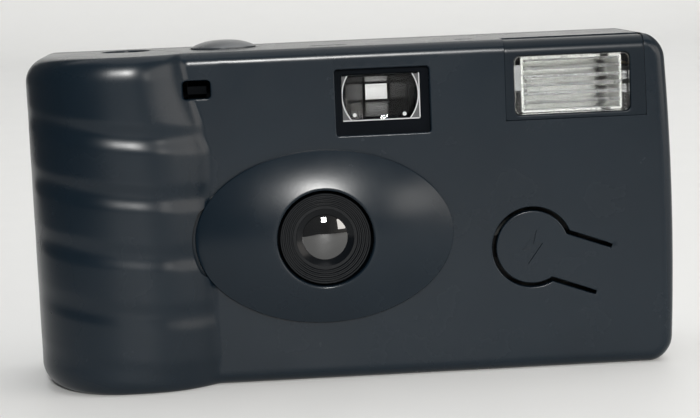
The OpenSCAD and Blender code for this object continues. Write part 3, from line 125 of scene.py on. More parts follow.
# Top and back
BUTTON_X, BUTTON_Y, BUTTON_R, BUTTON_TOP, BUTTON_EDGE = -22.3, 4.0, 6.05, 62.0, 60.75
BUTTON_LOW, BUTTON_WALL, BUTTON_POWER, BUTTON_GAP, COUNTER_GAP = 58.8, 1.2, 2.6, 0.15, 0.1
COUNTER_X, COUNTER_Y, COUNTER_R, COUNTER_LOW, COUNTER_HIGH = -40.5, 6.0, 4.45, 58.8, 60.2
DIAL_X, DIAL_Y, DIAL_Z, DIAL_RING = -36.0, 7.4, 58.4, 5.4
DIAL_STEP, DIAL_START, MARK_COUNT, MARKS_A_NUMERAL = 12.0, 163.0, 28, 3
NUMERAL_SIZE, NUMERAL_T, DOT_R = 2.3, 0.01, 0.25
SLOT_Y, SLOT_W, SLOT_CORNER_R, SLOT_LIP, TOP_LIP = -4.0, 1.2, 0.3, 0.2, 0.35
SLOTS = [(-6.4, 6.65), (20.3, 3.1)]
SNAP, SNAP_LIP = (-27.35, 53.95, 4.9, 3.3, 0.7), 0.25
DOOR_X0, DOOR_X1, DOOR_Y0, DOOR_Y1 = -52.3, -29.3, -9.05, 9.6
WHEEL_X, WHEEL_W, WHEEL_Z0, WHEEL_Z1, WHEEL_GAP = -41.6, 18.1, 52.2, 55.4, 0.6
WHEEL_Z, WHEEL_H = (WHEEL_Z0 + WHEEL_Z1) / 2, WHEEL_Z1 - WHEEL_Z0 + WHEEL_GAP
PIPE_X, PIPE_R, PIPE_GAP, PIPE_LIP, BACK_LIP = 18.2, 1.5, 0.1, 0.25, 0.4


def shown(name, data):
    """New object of some data, linked to the scene."""
    item = bpy.data.objects.new(name, data)
    bpy.context.scene.collection.objects.link(item)
    return item


class Skin:
    """Points in millimetres and the faces between them, gathered patch by patch."""

    def __init__(self):
        self.points = []
        self.faces = []

    def add(self, points, faces):
        base = len(self.points)
        self.points.extend(tuple(p) for p in points)
        self.faces.extend([base + i for i in face] for face in faces)

    def strip(self, rings, closed=True):
        count = len(rings[0])
        span = count if closed else count - 1
        quads = []
        for k in range(len(rings) - 1):
            for i in range(span):
                j = (i + 1) % count
                quads.append((k * count + i, k * count + j, (k + 1) * count + j, (k + 1) * count + i))
        self.add([p for ring in rings for p in ring], quads)

    def cap(self, *rings):
        for ring in rings:
            self.add(ring, [range(len(ring))])

    def sheet(self, place, *outline):
        """Flat outline, filled and put in place."""
        points, faces = fill(*outline)
        self.add([place(*p) for p in points], faces)

    def bow(self):
        """Draws the right side in towards the top and the bottom."""
        for i, (x, y, z) in enumerate(self.points):
            t = min(max((x - RIGHT_X) / BOW_REACH + 1, 0.0), 1.0)
            sag = (z - BOW_Z) ** 2 / (2 * BOW_R)
            self.points[i] = (x - sag * t * t * (3 - 2 * t), y, z)


def build(name, skin, material, nodes=(), sharp=32.0, body="housing"):
    """Mesh object of a skin that rides on a body and stands for CAD nodes."""
    mesh = bpy.data.meshes.new(name)
    mesh.from_pydata([Vector(p) * MM for p in skin.points], [], skin.faces)
    work = bmesh.new()
    work.from_mesh(mesh)
    bmesh.ops.remove_doubles(work, verts=work.verts, dist=WELD * MM)
    bmesh.ops.recalc_face_normals(work, faces=work.faces)
    work.to_mesh(mesh)
    work.free()
    mesh.polygons.foreach_set("use_smooth", [True] * len(mesh.polygons))
    mesh.set_sharp_from_angle(angle=math.radians(sharp))
    mesh.materials.append(material)
    piece = shown(name, mesh)
    weighted = piece.modifiers.new("weighted", "WEIGHTED_NORMAL")
    weighted.keep_sharp = True
    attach(piece, body)
    if nodes:
        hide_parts(*nodes)


def inside(points, loop):
    """Which of the points lie inside a closed loop."""
    x, y = points[:, 0], points[:, 1]
    odd = np.zeros(len(points), bool)
    for (x0, y0), (x1, y1) in zip(loop, loop[1:] + loop[:1]):
        if y0 != y1:
            odd ^= ((y0 > y) != (y1 > y)) & (x < (x1 - x0) * (y - y0) / (y1 - y0) + x0)
    return odd


def tree_of(points):
    """Search tree of flat points."""
    tree = KDTree(len(points))
    for i, p in enumerate(points):
        tree.insert((p[0], p[1], 0), i)
    tree.balance()
    return tree


def fill(outer, holes=(), grid=(), lines=(), margin=0.2):
    """Triangles over a flat outline with holes, over grid points that keep clear of its edges."""
    loops = [outer, *holes]
    fixed = [p for loop in [*loops, *lines] for p in loop]
    tree = tree_of(fixed)
    loose = []
    if len(grid):
        spots = np.array(grid, float)
        keep = inside(spots, outer)
        for hole in holes:
            keep &= ~inside(spots, hole)
        loose = [tuple(p) for p in spots[keep] if tree.find((p[0], p[1], 0))[2] > margin]
    edges = []
    base = 0
    for k, loop in enumerate([*loops, *lines]):
        count = len(loop)
        last = count if k < len(loops) else count - 1
        edges += [(base + i, base + (i + 1) % count) for i in range(last)]
        base += count
    points, _, faces, *_ = delaunay_2d_cdt([Vector(p) for p in fixed + loose], edges, [], 0, 1e-6)
    flat = np.array([tuple(p) for p in points])
    middles = np.array([flat[list(face)].mean(0) for face in faces])
    keep = inside(middles, outer)
    for hole in holes:
        keep &= ~inside(middles, hole)
    return [tuple(p) for p in flat], [faces[i] for i in np.flatnonzero(keep)]


def spread(start, end, step):
    """Evenly spaced numbers from start to end, no further apart than step."""
    return list(np.linspace(start, end, max(int(math.ceil(abs(end - start) / step)), 1) + 1))


def lerp(a, b, t):
    return a + (b - a) * t


def rounded(cx, cz, w, h, r, grow=0.0, step=0.7, turns=6):
    """Loop of a rectangle with round corners, grown by some distance."""
    arcs = []
    for k, (sx, sz) in enumerate([(1, 1), (-1, 1), (-1, -1), (1, -1)]):
        mx, mz = cx + sx * (w / 2 - r), cz + sz * (h / 2 - r)
        turn = [math.radians(90 * k + 90 * i / turns) for i in range(turns + 1)]
        arcs.append([(mx + (r + grow) * math.cos(a), mz + (r + grow) * math.sin(a)) for a in turn])
    loop = []
    for k, arc in enumerate(arcs):
        loop += arc
        after = arcs[(k + 1) % 4][0]
        count = max(int(((w if k % 2 == 0 else h) - 2 * r) / step), 1)
        for i in range(1, count):
            loop.append(tuple(lerp(arc[-1][j], after[j], i / count) for j in (0, 1)))
    return loop


def angles(count):
    """Evenly spaced turns of a full circle."""
    return [2 * math.pi * i / count for i in range(count)]


def circle(cx, cz, r, count=64):
    """Loop round a centre."""
    return [(cx + r * math.cos(a), cz + r * math.sin(a)) for a in angles(count)]


def upright(loop, y):
    """Loop of the front view, put at a depth."""
    return [(x, y, z) for x, z in loop]


def boxed(x, z, w, h, y):
    """Upright rectangular ring with slightly round corners."""
    return [(x + u * w / 2, y, z + v * h / 2) for u, v in rounded(0, 0, 2.0, 2.0, 0.06, 0.0, 0.25, 3)]


def bend(radius, steps=5):
    """Quarter turn as pairs of sideways and downward travel."""
    turn = [math.pi / 2 * k / steps for k in range(steps + 1)]
    return [(radius * math.sin(a), radius * (1 - math.cos(a))) for a in turn]


def lip(skin, loop_of, place, radius, depth=WALL):
    """Rounded edge of an opening with its wall; gives the loop where the flat surface stops."""
    rings = [[place(u, v, down) for u, v in loop_of(radius - out)] for out, down in bend(radius)]
    rings.append([place(u, v, depth) for u, v in loop_of(0.0)])
    skin.strip(rings)
    return loop_of(radius)


def brim(skin, loop_of, place, radius, depth=WALL):
    """Rounded outer edge of a plate with its side; gives the loop where the flat face stops."""
    return lip(skin, lambda g: loop_of(-g), place, radius, depth)


def lathe(skin, profile, centre, axis, count=96):
    """Surface turned about an axis, from points of radius and distance along it."""
    place = "xyz".index(axis)
    rings = []
    for r, d in profile:
        loop = circle(*centre, r, count)
        rings.append([(*p[:place], d, *p[place:]) for p in loop])
    skin.strip(rings)
    return rings


# Materials

def shader_nodes(name):
    """New material with its tree and its main shader."""
    material = bpy.data.materials.new(name)
    material.use_nodes = True
    return material, material.node_tree, material.node_tree.nodes["Principled BSDF"]


def noise(tree, scale, detail=4.0, stretch=None):
    """Noise over the object's own coordinates."""
    coord = tree.nodes.new("ShaderNodeTexCoord")
    texture = tree.nodes.new("ShaderNodeTexNoise")
    texture.inputs["Scale"].default_value = scale
    texture.inputs["Detail"].default_value = detail
    source = coord.outputs["Object"]
    if stretch:
        mapping = tree.nodes.new("ShaderNodeMapping")
        mapping.inputs["Scale"].default_value = stretch
        tree.links.new(source, mapping.inputs["Vector"])
        source = mapping.outputs["Vector"]
    tree.links.new(source, texture.inputs["Vector"])
    return texture.outputs["Fac"]


def ramp(tree, factor, stops):
    """Colours along a factor."""
    node = tree.nodes.new("ShaderNodeValToRGB")
    elements = node.color_ramp.elements
    while len(elements) < len(stops):
        elements.new(0.5)
    for element, (place, colour) in zip(elements, stops):
        element.position = place
        element.color = (*colour, 1.0)
    tree.links.new(factor, node.inputs["Fac"])
    return node.outputs["Color"]


def spanned(tree, factor, low, high, start=0.3, end=0.7):
    """Factor between two values carried over to a range."""
    node = tree.nodes.new("ShaderNodeMapRange")
    for name, value in zip(("From Min", "From Max", "To Min", "To Max"), (start, end, low, high)):
        node.inputs[name].default_value = value
    tree.links.new(factor, node.inputs["Value"])
    return node.outputs["Result"]


def bumped(tree, shader, height, strength, distance):
    """Relief of a height."""
    node = tree.nodes.new("ShaderNodeBump")
    node.inputs["Strength"].default_value = strength
    node.inputs["Distance"].default_value = distance
    tree.links.new(height, node.inputs["Height"])
    tree.links.new(node.outputs["Normal"], shader.inputs["Normal"])


def moulded(name, dark, light, rough, grain=1800.0, relief=0.12, specular=0.5):
    """Moulded plastic with faint mottling, fine grain and uneven gloss."""
    material, tree, shader = shader_nodes(name)
    tree.links.new(ramp(tree, noise(tree, 45.0), [(0.3, dark), (0.7, light)]), shader.inputs["Base Color"])
    tree.links.new(spanned(tree, noise(tree, 110.0, 6.0), *rough), shader.inputs["Roughness"])
    bumped(tree, shader, noise(tree, grain, 3.0), relief, 0.00003)
    shader.inputs["Specular IOR Level"].default_value = specular
    return material


def metal(name, dark, light, rough, stretch):
    """Rolled or drawn metal with fine streaks."""
    material, tree, shader = shader_nodes(name)
    streaks = noise(tree, 300.0, 5.0, stretch)
    tree.links.new(ramp(tree, streaks, [(0.3, dark), (0.7, light)]), shader.inputs["Base Color"])
    tree.links.new(spanned(tree, streaks, *rough), shader.inputs["Roughness"])
    bumped(tree, shader, streaks, 0.1, 0.00003)
    shader.inputs["Metallic"].default_value = 1.0
    return material


def along(tree, space, axis, start, end):
    """Share of the way between two places along an axis of a space."""
    coord = tree.nodes.new("ShaderNodeTexCoord")
    split = tree.nodes.new("ShaderNodeSeparateXYZ")
    tree.links.new(coord.outputs[space], split.inputs["Vector"])
    return spanned(tree, split.outputs[axis], 0.0, 1.0, start, end)


def placed(tree, axis, start, end, scale, wobble):
    """Share of the way between two places along an axis of the object, with some wobble."""
    total = tree.nodes.new("ShaderNodeMath")
    total.operation = "MULTIPLY_ADD"
    total.inputs[1].default_value = wobble
    tree.links.new(noise(tree, scale), total.inputs[0])
    tree.links.new(along(tree, "Object", axis, start, end), total.inputs[2])
    return total.outputs["Value"]


def foil(name, light, dark, rough, painted_reflection_band):
    """Bright foil with a dark band across it, a painted reflection of the flash tube's electrode."""
    material = metal(name, light, light, rough, (0.3, 1, 1))
    tree = material.node_tree
    place = placed(tree, "X", *painted_reflection_band, 1500.0, 0.2)
    tone = ramp(tree, place, [(0.1, light), (0.18, dark), (0.48, dark), (0.62, light)])
    shader = tree.nodes["Principled BSDF"]
    tree.links.new(tone, shader.inputs["Base Color"])
    shader.inputs["Metallic"].default_value = 0.65
    return material


def clear(name, tint, rough, index=1.49, relief=0.02, share=1.0):
    """Clear moulded plastic or glass with slight waviness; the rest of its share passes light unbent."""
    material, tree, shader = shader_nodes(name)
    tone = ramp(tree, noise(tree, 60.0), [(0.3, tint), (0.7, (1, 1, 1))])
    tree.links.new(tone, shader.inputs["Base Color"])
    tree.links.new(spanned(tree, noise(tree, 400.0), *rough), shader.inputs["Roughness"])
    if relief:
        bumped(tree, shader, noise(tree, 120.0, 2.0), relief, 0.0002)
    shader.inputs["Transmission Weight"].default_value = 1.0
    shader.inputs["IOR"].default_value = index
    shader.inputs["Alpha"].default_value = share
    return material


def coated(name, dark, light, rough):
    """Glass that hides what lies behind it, its dark base partly the black shutter behind and partly painted
    shade inside, under a sharp coat with strong reflections.
    """
    material = moulded(name, dark, light, rough, 900.0, 0.0, 0.02)
    shader = material.node_tree.nodes["Principled BSDF"]
    for socket, value in (("Coat Weight", 1.0), ("Coat Roughness", 0.02), ("Coat IOR", 2.0)):
        shader.inputs[socket].default_value = value
    return material


COVER = moulded("cover_plastic", (0.003, 0.0072, 0.012), (0.0042, 0.0092, 0.0148), (0.23, 0.29),
                specular=0.28)
# lighter than the cover plastic: painted sheen, the backdrop's reflection in the button's dome put into its
# colour
BUTTON = moulded("button_plastic_painted_sheen", (0.020, 0.026, 0.032), (0.026, 0.033, 0.040), (0.26, 0.32), specular=0.9)
BLACK = moulded("black_plastic", (0.004, 0.004, 0.005), (0.008, 0.008, 0.01), (0.30, 0.42), 2600.0,
                specular=0.25)
INSERT = moulded("insert_plastic", (0.0026, 0.0062, 0.0102), (0.0036, 0.0078, 0.0125), (0.28, 0.34),
                 specular=0.18)
GLOSS = moulded("gloss_black", (0.002, 0.003, 0.004), (0.004, 0.005, 0.007), (0.2, 0.28), 1200.0, 0.04, 0.03)
RING = moulded("lens_ring_black", (0.002, 0.0028, 0.0038), (0.004, 0.005, 0.0065), (0.18, 0.26),
               1800.0, 0.06, 0.2)
DEEP = moulded("shutter_black", (0.002, 0.002, 0.002), (0.004, 0.004, 0.004), (0.6, 0.75), 900.0, 0.02, 0.02)
PLATE = moulded("shutter_plate_grey", (0.002, 0.002, 0.0025), (0.003, 0.003, 0.0035), (0.6, 0.7),
                900.0, 0.0, 0.02)
MASK = moulded("mask_grey", (0.003, 0.003, 0.0035), (0.005, 0.005, 0.0055), (0.40, 0.55), 1200.0, 0.05, 0.05)
# grey on the viewfinder lens's flat sides beside its hollow: painted light, not a colour of the glass
PAINTED_LAND_LIGHT = moulded("lens_land", (0.035, 0.037, 0.040), (0.055, 0.057, 0.060), (0.30, 0.45), 900.0, 0.05)
# white of frosted plastic on the flash reflector's ear; on the viewfinder lens it is painted glints
FROST_AND_GLINT = moulded("frosted_and_painted_glint", (0.36, 0.37, 0.38), (0.50, 0.51, 0.52), (0.30, 0.45), 900.0, 0.05)
INNER = moulded("chassis_plastic", (0.0012, 0.0016, 0.0022), (0.0025, 0.003, 0.0038), (0.50, 0.65),
                specular=0.02)
PALE = moulded("pale_plastic", (0.60, 0.60, 0.57), (0.72, 0.72, 0.69), (0.35, 0.50))
WRAPPER = moulded("cell_wrap", (0.62, 0.63, 0.64), (0.75, 0.76, 0.77), (0.25, 0.35))
BOARD = moulded("board_laminate", (0.006, 0.007, 0.006), (0.010, 0.011, 0.009), (0.45, 0.60), 900.0)
FILM = moulded("film_base", (0.045, 0.025, 0.018), (0.075, 0.042, 0.030), (0.18, 0.28), 600.0, 0.05)
NUMERAL = moulded("numeral_paint", (0.70, 0.70, 0.67), (0.82, 0.82, 0.79), (0.45, 0.60))
STEEL = metal("steel_sheet", (0.52, 0.52, 0.53), (0.66, 0.66, 0.67), (0.22, 0.34), (1, 1, 12))
BRASS = metal("brass_strip", (0.60, 0.43, 0.17), (0.72, 0.54, 0.24), (0.24, 0.36), (1, 1, 12))
# reflector foil: its dark band over x 45.4 to 49.4 mm is a painted reflection of the electrode
MIRROR = foil("reflector_foil", (0.90, 0.91, 0.88), (0.03, 0.03, 0.028), (0.42, 0.55), (0.0454, 0.0494))
# near-black: painted shade in the flash button's slot, where the charge contact shows
SHADED_CONTACT = metal("contact_metal_painted_shade", (0.004, 0.004, 0.004), (0.010, 0.010, 0.010), (0.4, 0.55), (1, 1, 4))
DARK_METAL = metal("electrode_metal", (0.015, 0.014, 0.013), (0.04, 0.037, 0.034), (0.3, 0.45), (1, 1, 4))
CLEAR = clear("clear_plastic", (0.94, 0.96, 0.96), (0.02, 0.05), share=0.76)
GLASS = clear("lens_glass", (0.97, 0.98, 0.98), (0.0, 0.003), 1.49, 0.0)
FINDER_GLASS = clear("finder_glass", (0.97, 0.98, 0.98), (0.0, 0.003), 1.22, 0.0)
# the taking lens's dark base is painted shade of the camera's inside, over the black shutter
PAINTED_SHADE_GLASS = coated("lens_glass_painted_shade", (0.0015, 0.0018, 0.002), (0.0025, 0.003, 0.0034), (0.5, 0.6))

SLOT_GROUPS = {
    "cover": (COVER, BUTTON), "bezel": (INSERT,), "black": (BLACK, RING), "can": (GLOSS,),
    "chassis": (DEEP, PLATE, MASK, INNER), "clear": (FROST_AND_GLINT, PAINTED_LAND_LIGHT, CLEAR, FINDER_GLASS),
    "glass": (GLASS, PAINTED_SHADE_GLASS), "white": (PALE, NUMERAL), "cell": (WRAPPER,), "board": (BOARD,),
    "film": (FILM,), "steel": (STEEL, MIRROR, DARK_METAL), "brass": (BRASS, SHADED_CONTACT),
}
SLOT_OF = {material.name: slot for slot, group in SLOT_GROUPS.items() for material in group}


# Front cover

def fillet(d, r):
    """Drop of a rounded edge at a distance from the edge."""
    d = min(max(d, 0.0), r)
    return r - math.sqrt(max(r * r - (r - d) ** 2, 0.0))


def tuck(d):
    """Distance from the outline of a point that lies d along the turn of its rounded edge."""
    return EDGE_R * (1 - math.cos(d / EDGE_R)) if d < EDGE_R * math.pi / 2 else d - STRETCH


def unfold(a, b):
    """Front view of a point on the flat pattern of the front, with its share of the left turn."""
    low, high = b + STRETCH, BODY_H + STRETCH - b
    z = tuck(low) if low < high else BODY_H - tuck(high)
    if a < CREST_X:
        turn = math.sin(min((CREST_X - a) / WRAP, 1.0) * math.pi / 2) ** (2 / SIDE_POWER)
        reach = CREST_X - LEFT_X - fillet(min(z, BODY_H - z), CORNER_R)
        return CREST_X - reach * turn, z, turn
    cx = RIGHT_X - CORNER_R
    cz = CORNER_R if low < high else BODY_H - CORNER_R
    if a > cx and abs(b - BODY_H / 2) > BODY_H / 2 - CORNER_R:
        dx, dz = a - cx, b - cz
        r = max(math.hypot(dx, dz), 1e-9)
        k = (CORNER_R - tuck(max(CORNER_R + STRETCH - r, 0.0))) / r
        return cx + dx * k, cz + dz * k, 0.0
    return RIGHT_X - tuck(max(RIGHT_X + STRETCH - a, 0.0)), z, 0.0


def edge_gap(x, z):
    """Distance from the top, bottom and right edges of the panel."""
    qx = x - RIGHT_X + CORNER_R
    qz = abs(z - BODY_H / 2) - BODY_H / 2 + CORNER_R
    return CORNER_R - math.hypot(max(qx, 0), max(qz, 0)) - min(max(qx, qz), 0)


def groove(x, z):
    """Depth of the finger grooves."""
    s = x - CREST_X
    h = z - GROOVE_FIRST + GROOVE_TILT * s - GROOVE_BEND * s * s
    k = min(max(round(h / GROOVE_PITCH), 0), len(GROOVE_DEPTHS) - 1)
    t = abs(h - k * GROOVE_PITCH)
    depth = GROOVE_DEPTHS[k] * (1 + GROOVE_SWELL * max(s, 0.0))
    return depth * (1 + math.cos(math.pi * t / GROOVE_HALF)) / 2 if t < GROOVE_HALF else 0.0


def grip_face(x, z):
    """Front of the grip at its crest."""
    edge = fillet(min(z, BODY_H - z) * GRIP_EDGE_D / GRIP_EDGE_H, GRIP_EDGE_D)
    return FRONT_Y - GRIP_PROUD + groove(x, z) + edge


def flank_rise(x, z):
    """How far the grip's flank lies in front of the panel."""
    t = min(max((z - TAPER_Z0) / (TAPER_Z1 - TAPER_Z0), 0.0), 1.0)
    wide = lerp(FLANK_W, FLANK_TOP_W, t * t * (3 - 2 * t))
    flank = grip_face(x, z) + GRIP_PROUD * ((x - CREST_X) / wide) ** FLANK_POWER
    return FRONT_Y + fillet(edge_gap(x, z), EDGE_R) - flank


def front_surface(x, z, turn=0.0):
    """Front of the cover without the bulge: the panel, with the grip running softly into it."""
    if x < CREST_X:
        return grip_face(x, z) + GRIP_DEPTH * (1 - max(1 - turn ** SIDE_POWER, 0.0) ** (1 / SIDE_POWER))
    panel = FRONT_Y + fillet(edge_gap(x, z), EDGE_R)
    rise = flank_rise(x, z)
    soft = max(CREASE_SOFT - abs(rise), 0.0) / CREASE_SOFT
    return panel - max(rise, 0.0) - soft * soft * CREASE_SOFT / 4


def crease(b):
    """Where the grip's flank meets the panel, on the flat pattern of the front."""
    z = unfold(CREST_X, b)[1]
    near, far = CREST_X, CREST_X + FLANK_W + 1
    for _ in range(24):
        middle = (near + far) / 2
        near, far = (middle, far) if flank_rise(middle, z) > 0 else (near, middle)
    return near


def runs(points, keep):
    """Unbroken stretches of the points that are kept."""
    lines = [[]]
    for point, good in zip(points, keep):
        if good:
            lines[-1].append(point)
        elif lines[-1]:
            lines.append([])
    return [line for line in lines if len(line) > 1]


def front_place(a, b, drop=0.0):
    """Point of the front of the cover, from its flat pattern."""
    x, z, turn = unfold(a, b)
    return x, front_surface(x, z, turn) + drop, z


def outline_ring(d, y):
    """Ring round the body's outline, drawn in by d."""
    return upright(rounded(0, BODY_H / 2, BODY_W, BODY_H, CORNER_R, -d, OUTLINE_STEP, 16), y)


def keyhole(grow, ease=0.0):
    """Outline of the flash button, grown by some distance that fades out at the tongue's root."""
    half = TONGUE_W / 2
    radius = CHARGE_R + grow
    meet = math.asin((half + grow) / radius)
    loop = []
    for i in range(41):
        a = lerp(meet, 2 * math.pi - meet, i / 40)
        loop.append(((radius + ease) * math.cos(a), (radius + ease) * math.sin(a)))
    lower = []
    for u in spread(radius * math.cos(meet), TONGUE_ROOT, 0.6)[1:]:
        fade = min((TONGUE_ROOT - u) / TONGUE_FADE, 1.0)
        lower.append((u, -half - grow - ease * fade))
    loop += lower
    loop += [(TONGUE_ROOT, v) for v in spread(-half - grow, half + grow, 0.8)[1:-1]]
    loop += [(u, -v) for u, v in reversed(lower)]
    c, s = math.cos(CHARGE_LEAN), math.sin(CHARGE_LEAN)
    return [(CHARGE_X + u * c - v * s, CHARGE_Z + u * s + v * c) for u, v in loop]


def root_fade(x, z):
    """How much of an edge's rounding is left near the tongue's root."""
    reach = (x - CHARGE_X) * math.cos(CHARGE_LEAN) + (z - CHARGE_Z) * math.sin(CHARGE_LEAN)
    return min(max((TONGUE_ROOT - reach) / TONGUE_FADE, 0.0), 1.0)


def keyhole_place(x, z, drop=0.0):
    """Panel point whose rounding fades at the tongue's root."""
    eased = drop * root_fade(x, z) if drop < WALL else drop
    return x, FRONT_Y + eased, z


def oval(count=168):
    """Outline of the bulge."""
    return [(LENS_X + BULGE_W / 2 * math.cos(a), LENS_Z + BULGE_H / 2 * math.sin(a)) for a in angles(count)]


def moat(skin):
    """Rounded edge of the grip's flank where it stands over the bulge; gives the edge of the sheet."""
    rims = []
    for x, z in oval():
        over = min(max(FRONT_Y - BULGE_STEP - front_surface(x, z), 0.0) / MOAT_W, 1.0)
        nx, nz = (x - LENS_X) / BULGE_W ** 2, (z - LENS_Z) / BULGE_H ** 2
        out = math.hypot(nx, nz)
        rims.append((x, z, nx / out, nz / out, over))
    rings = []
    for side, drop in reversed(bend(MOAT_R)):
        ring = []
        for x, z, nx, nz, over in rims:
            grow = (MOAT_W + side) * over
            u, v = x + nx * grow, z + nz * grow
            ring.append((u, front_surface(u, v) + drop * over, v))
        rings.append(ring)
    floor_y = FRONT_Y + MOAT_FLOOR
    walls = [(x, floor_y, z) for x, _, z in rings[0]]
    skin.strip([upright(oval(), floor_y), walls, *rings])
    return [(x, z) for x, _, z in rings[-1]]


def bulge_y(x, z):
    """Front of the bulge, a shallow cap over an oval."""
    out = (2 * (x - LENS_X) / BULGE_W) ** 2 + (2 * (z - LENS_Z) / BULGE_H) ** 2
    return FRONT_Y - BULGE_STEP - BULGE_RISE * max(1 - out, 0.0)


def bulge(skin, count=168, rings=26):
    """Oval bulge with a rounded rim and a rounded lens opening."""
    rim_w, rim_h = BULGE_W / 2 - RIM_R, BULGE_H / 2 - RIM_R
    half_w, half_h = rim_w - RIM_LAND, rim_h - RIM_LAND
    open_r = LENS_HOLE_R + LENS_EDGE_R
    columns = []
    for a in angles(count):
        c, s = math.cos(a), math.sin(a)
        p, q = (half_w - BULGE_HUB) * c, (half_h - BULGE_HUB) * s
        u, v = BULGE_HUB * c, BULGE_HUB * s
        k2, k1, k0 = p * p + q * q, 2 * (p * u + q * v), u * u + v * v - open_r ** 2
        t0 = (-k1 + math.sqrt(k1 * k1 - 4 * k2 * k0)) / (2 * k2)
        column = []
        dx, dz = (u + p * t0) / open_r, (v + q * t0) / open_r
        column.append((LENS_X + LENS_HOLE_R * dx, FRONT_Y + HOLE_FLOOR, LENS_Z + LENS_HOLE_R * dz))
        for out, down in reversed(bend(LENS_EDGE_R)):
            r = open_r - out
            x, z = LENS_X + r * dx, LENS_Z + r * dz
            column.append((x, bulge_y(x, z) + down, z))
        for k in range(1, rings + 1):
            t = lerp(t0, 1.0, k / rings)
            x, z = LENS_X + u + p * t, LENS_Z + v + q * t
            column.append((x, bulge_y(x, z), z))
        for out, down in bend(RIM_R):
            x, z = LENS_X + (rim_w + out) * c, LENS_Z + (rim_h + out) * s
            column.append((x, bulge_y(x, z) + down, z))
        column.append((LENS_X + BULGE_W / 2 * c, FRONT_Y + RIM_FLOOR, LENS_Z + BULGE_H / 2 * s))
        columns.append(column)
    skin.strip([[column[k] for column in columns] for k in range(len(columns[0]))])


def front_sheet(skin):
    """Front of the cover with its openings; gives the edge at the bottom and the edge at the top."""
    left = CREST_X - WRAP
    corner_x = RIGHT_X - CORNER_R
    low, high = -STRETCH, BODY_H + STRETCH
    columns = spread(left, CREST_X, WRAP_STEP)[:-1] + spread(CREST_X, GRIP_END_X, FLANK_STEP)
    columns += spread(GRIP_END_X, corner_x, PANEL_STEP)[1:]
    rows = spread(low, high, ROW_STEP)
    notch_x0, notch_x1, notch_z = BEZEL_X0 - NOTCH_GAP, BEZEL_X1 + NOTCH_GAP, BEZEL_Z0 - NOTCH_GAP
    reach = CORNER_R + STRETCH
    turn = [math.radians(90 * i / 20) for i in range(1, 20)]
    right = [b for b in rows if CORNER_R <= b <= BODY_H - CORNER_R]
    bottom = [(a, low) for a in columns]
    top = [(a, high) for a in columns if a < notch_x0 - 0.1]
    notch_top = [high - (reach - math.sqrt(reach ** 2 - (notch_x1 - corner_x) ** 2)), high]
    notch = [(notch_x1, b) for b in spread(notch_top[0], notch_z, NOTCH_STEP)]
    notch += [(a, notch_z) for a in spread(notch_x1, notch_x0, 1.0)[1:]]
    notch += [(notch_x0, b) for b in spread(notch_z, notch_top[1], NOTCH_STEP)[1:]]
    arc = [(corner_x + reach * math.cos(a), BODY_H - CORNER_R + reach * math.sin(a)) for a in turn]
    arc = [p for p in arc if p[0] > notch_x1 + 0.15]
    outer = bottom + [(corner_x + reach * math.sin(a), CORNER_R - reach * math.cos(a)) for a in turn]
    outer += [(RIGHT_X + STRETCH, b) for b in right]
    outer += arc + notch + list(reversed(top))
    outer += [(left, b) for b in reversed(rows[1:-1])]
    edge_columns = spread(corner_x, RIGHT_X + STRETCH, ROW_STEP)[1:-1]
    grid = [(a, b) for a in columns + edge_columns for b in rows[1:-1]]
    holes = [
        moat(skin),
        lip(skin, lambda g: rounded(*FINDER_HOLE, g), front_place, FINDER_LIP),
        lip(skin, lambda g: rounded(*SNAP, g, 0.4), front_place, SNAP_LIP),
        lip(skin, lambda g: keyhole(CHARGE_SLOT, g), keyhole_place, CHARGE_EDGE_R),
    ]
    edge = [(crease(b), b) for b in rows[1:-1]]
    free = np.ones(len(edge), bool)
    for hole in holes:
        near = tree_of(hole)
        free &= ~inside(np.array(edge), hole)
        free &= np.array([near.find((*p, 0))[2] > CREASE_CLEAR for p in edge])
    lines = [line for gap in CREASE_LINES for line in runs([(a - gap, b) for a, b in edge], free)]
    skin.sheet(front_place, outer, holes, grid, lines)
    walls = [front_place(*p) for p in notch]
    skin.strip([walls, [(x, max(y, FRONT_Y) + WALL, z) for x, y, z in walls]], closed=False)
    around = outer[len(bottom) - 1:len(outer) - len(rows) + 2 - len(top) - len(notch)]
    return bottom, top, around, [(left, b) for b in rows]


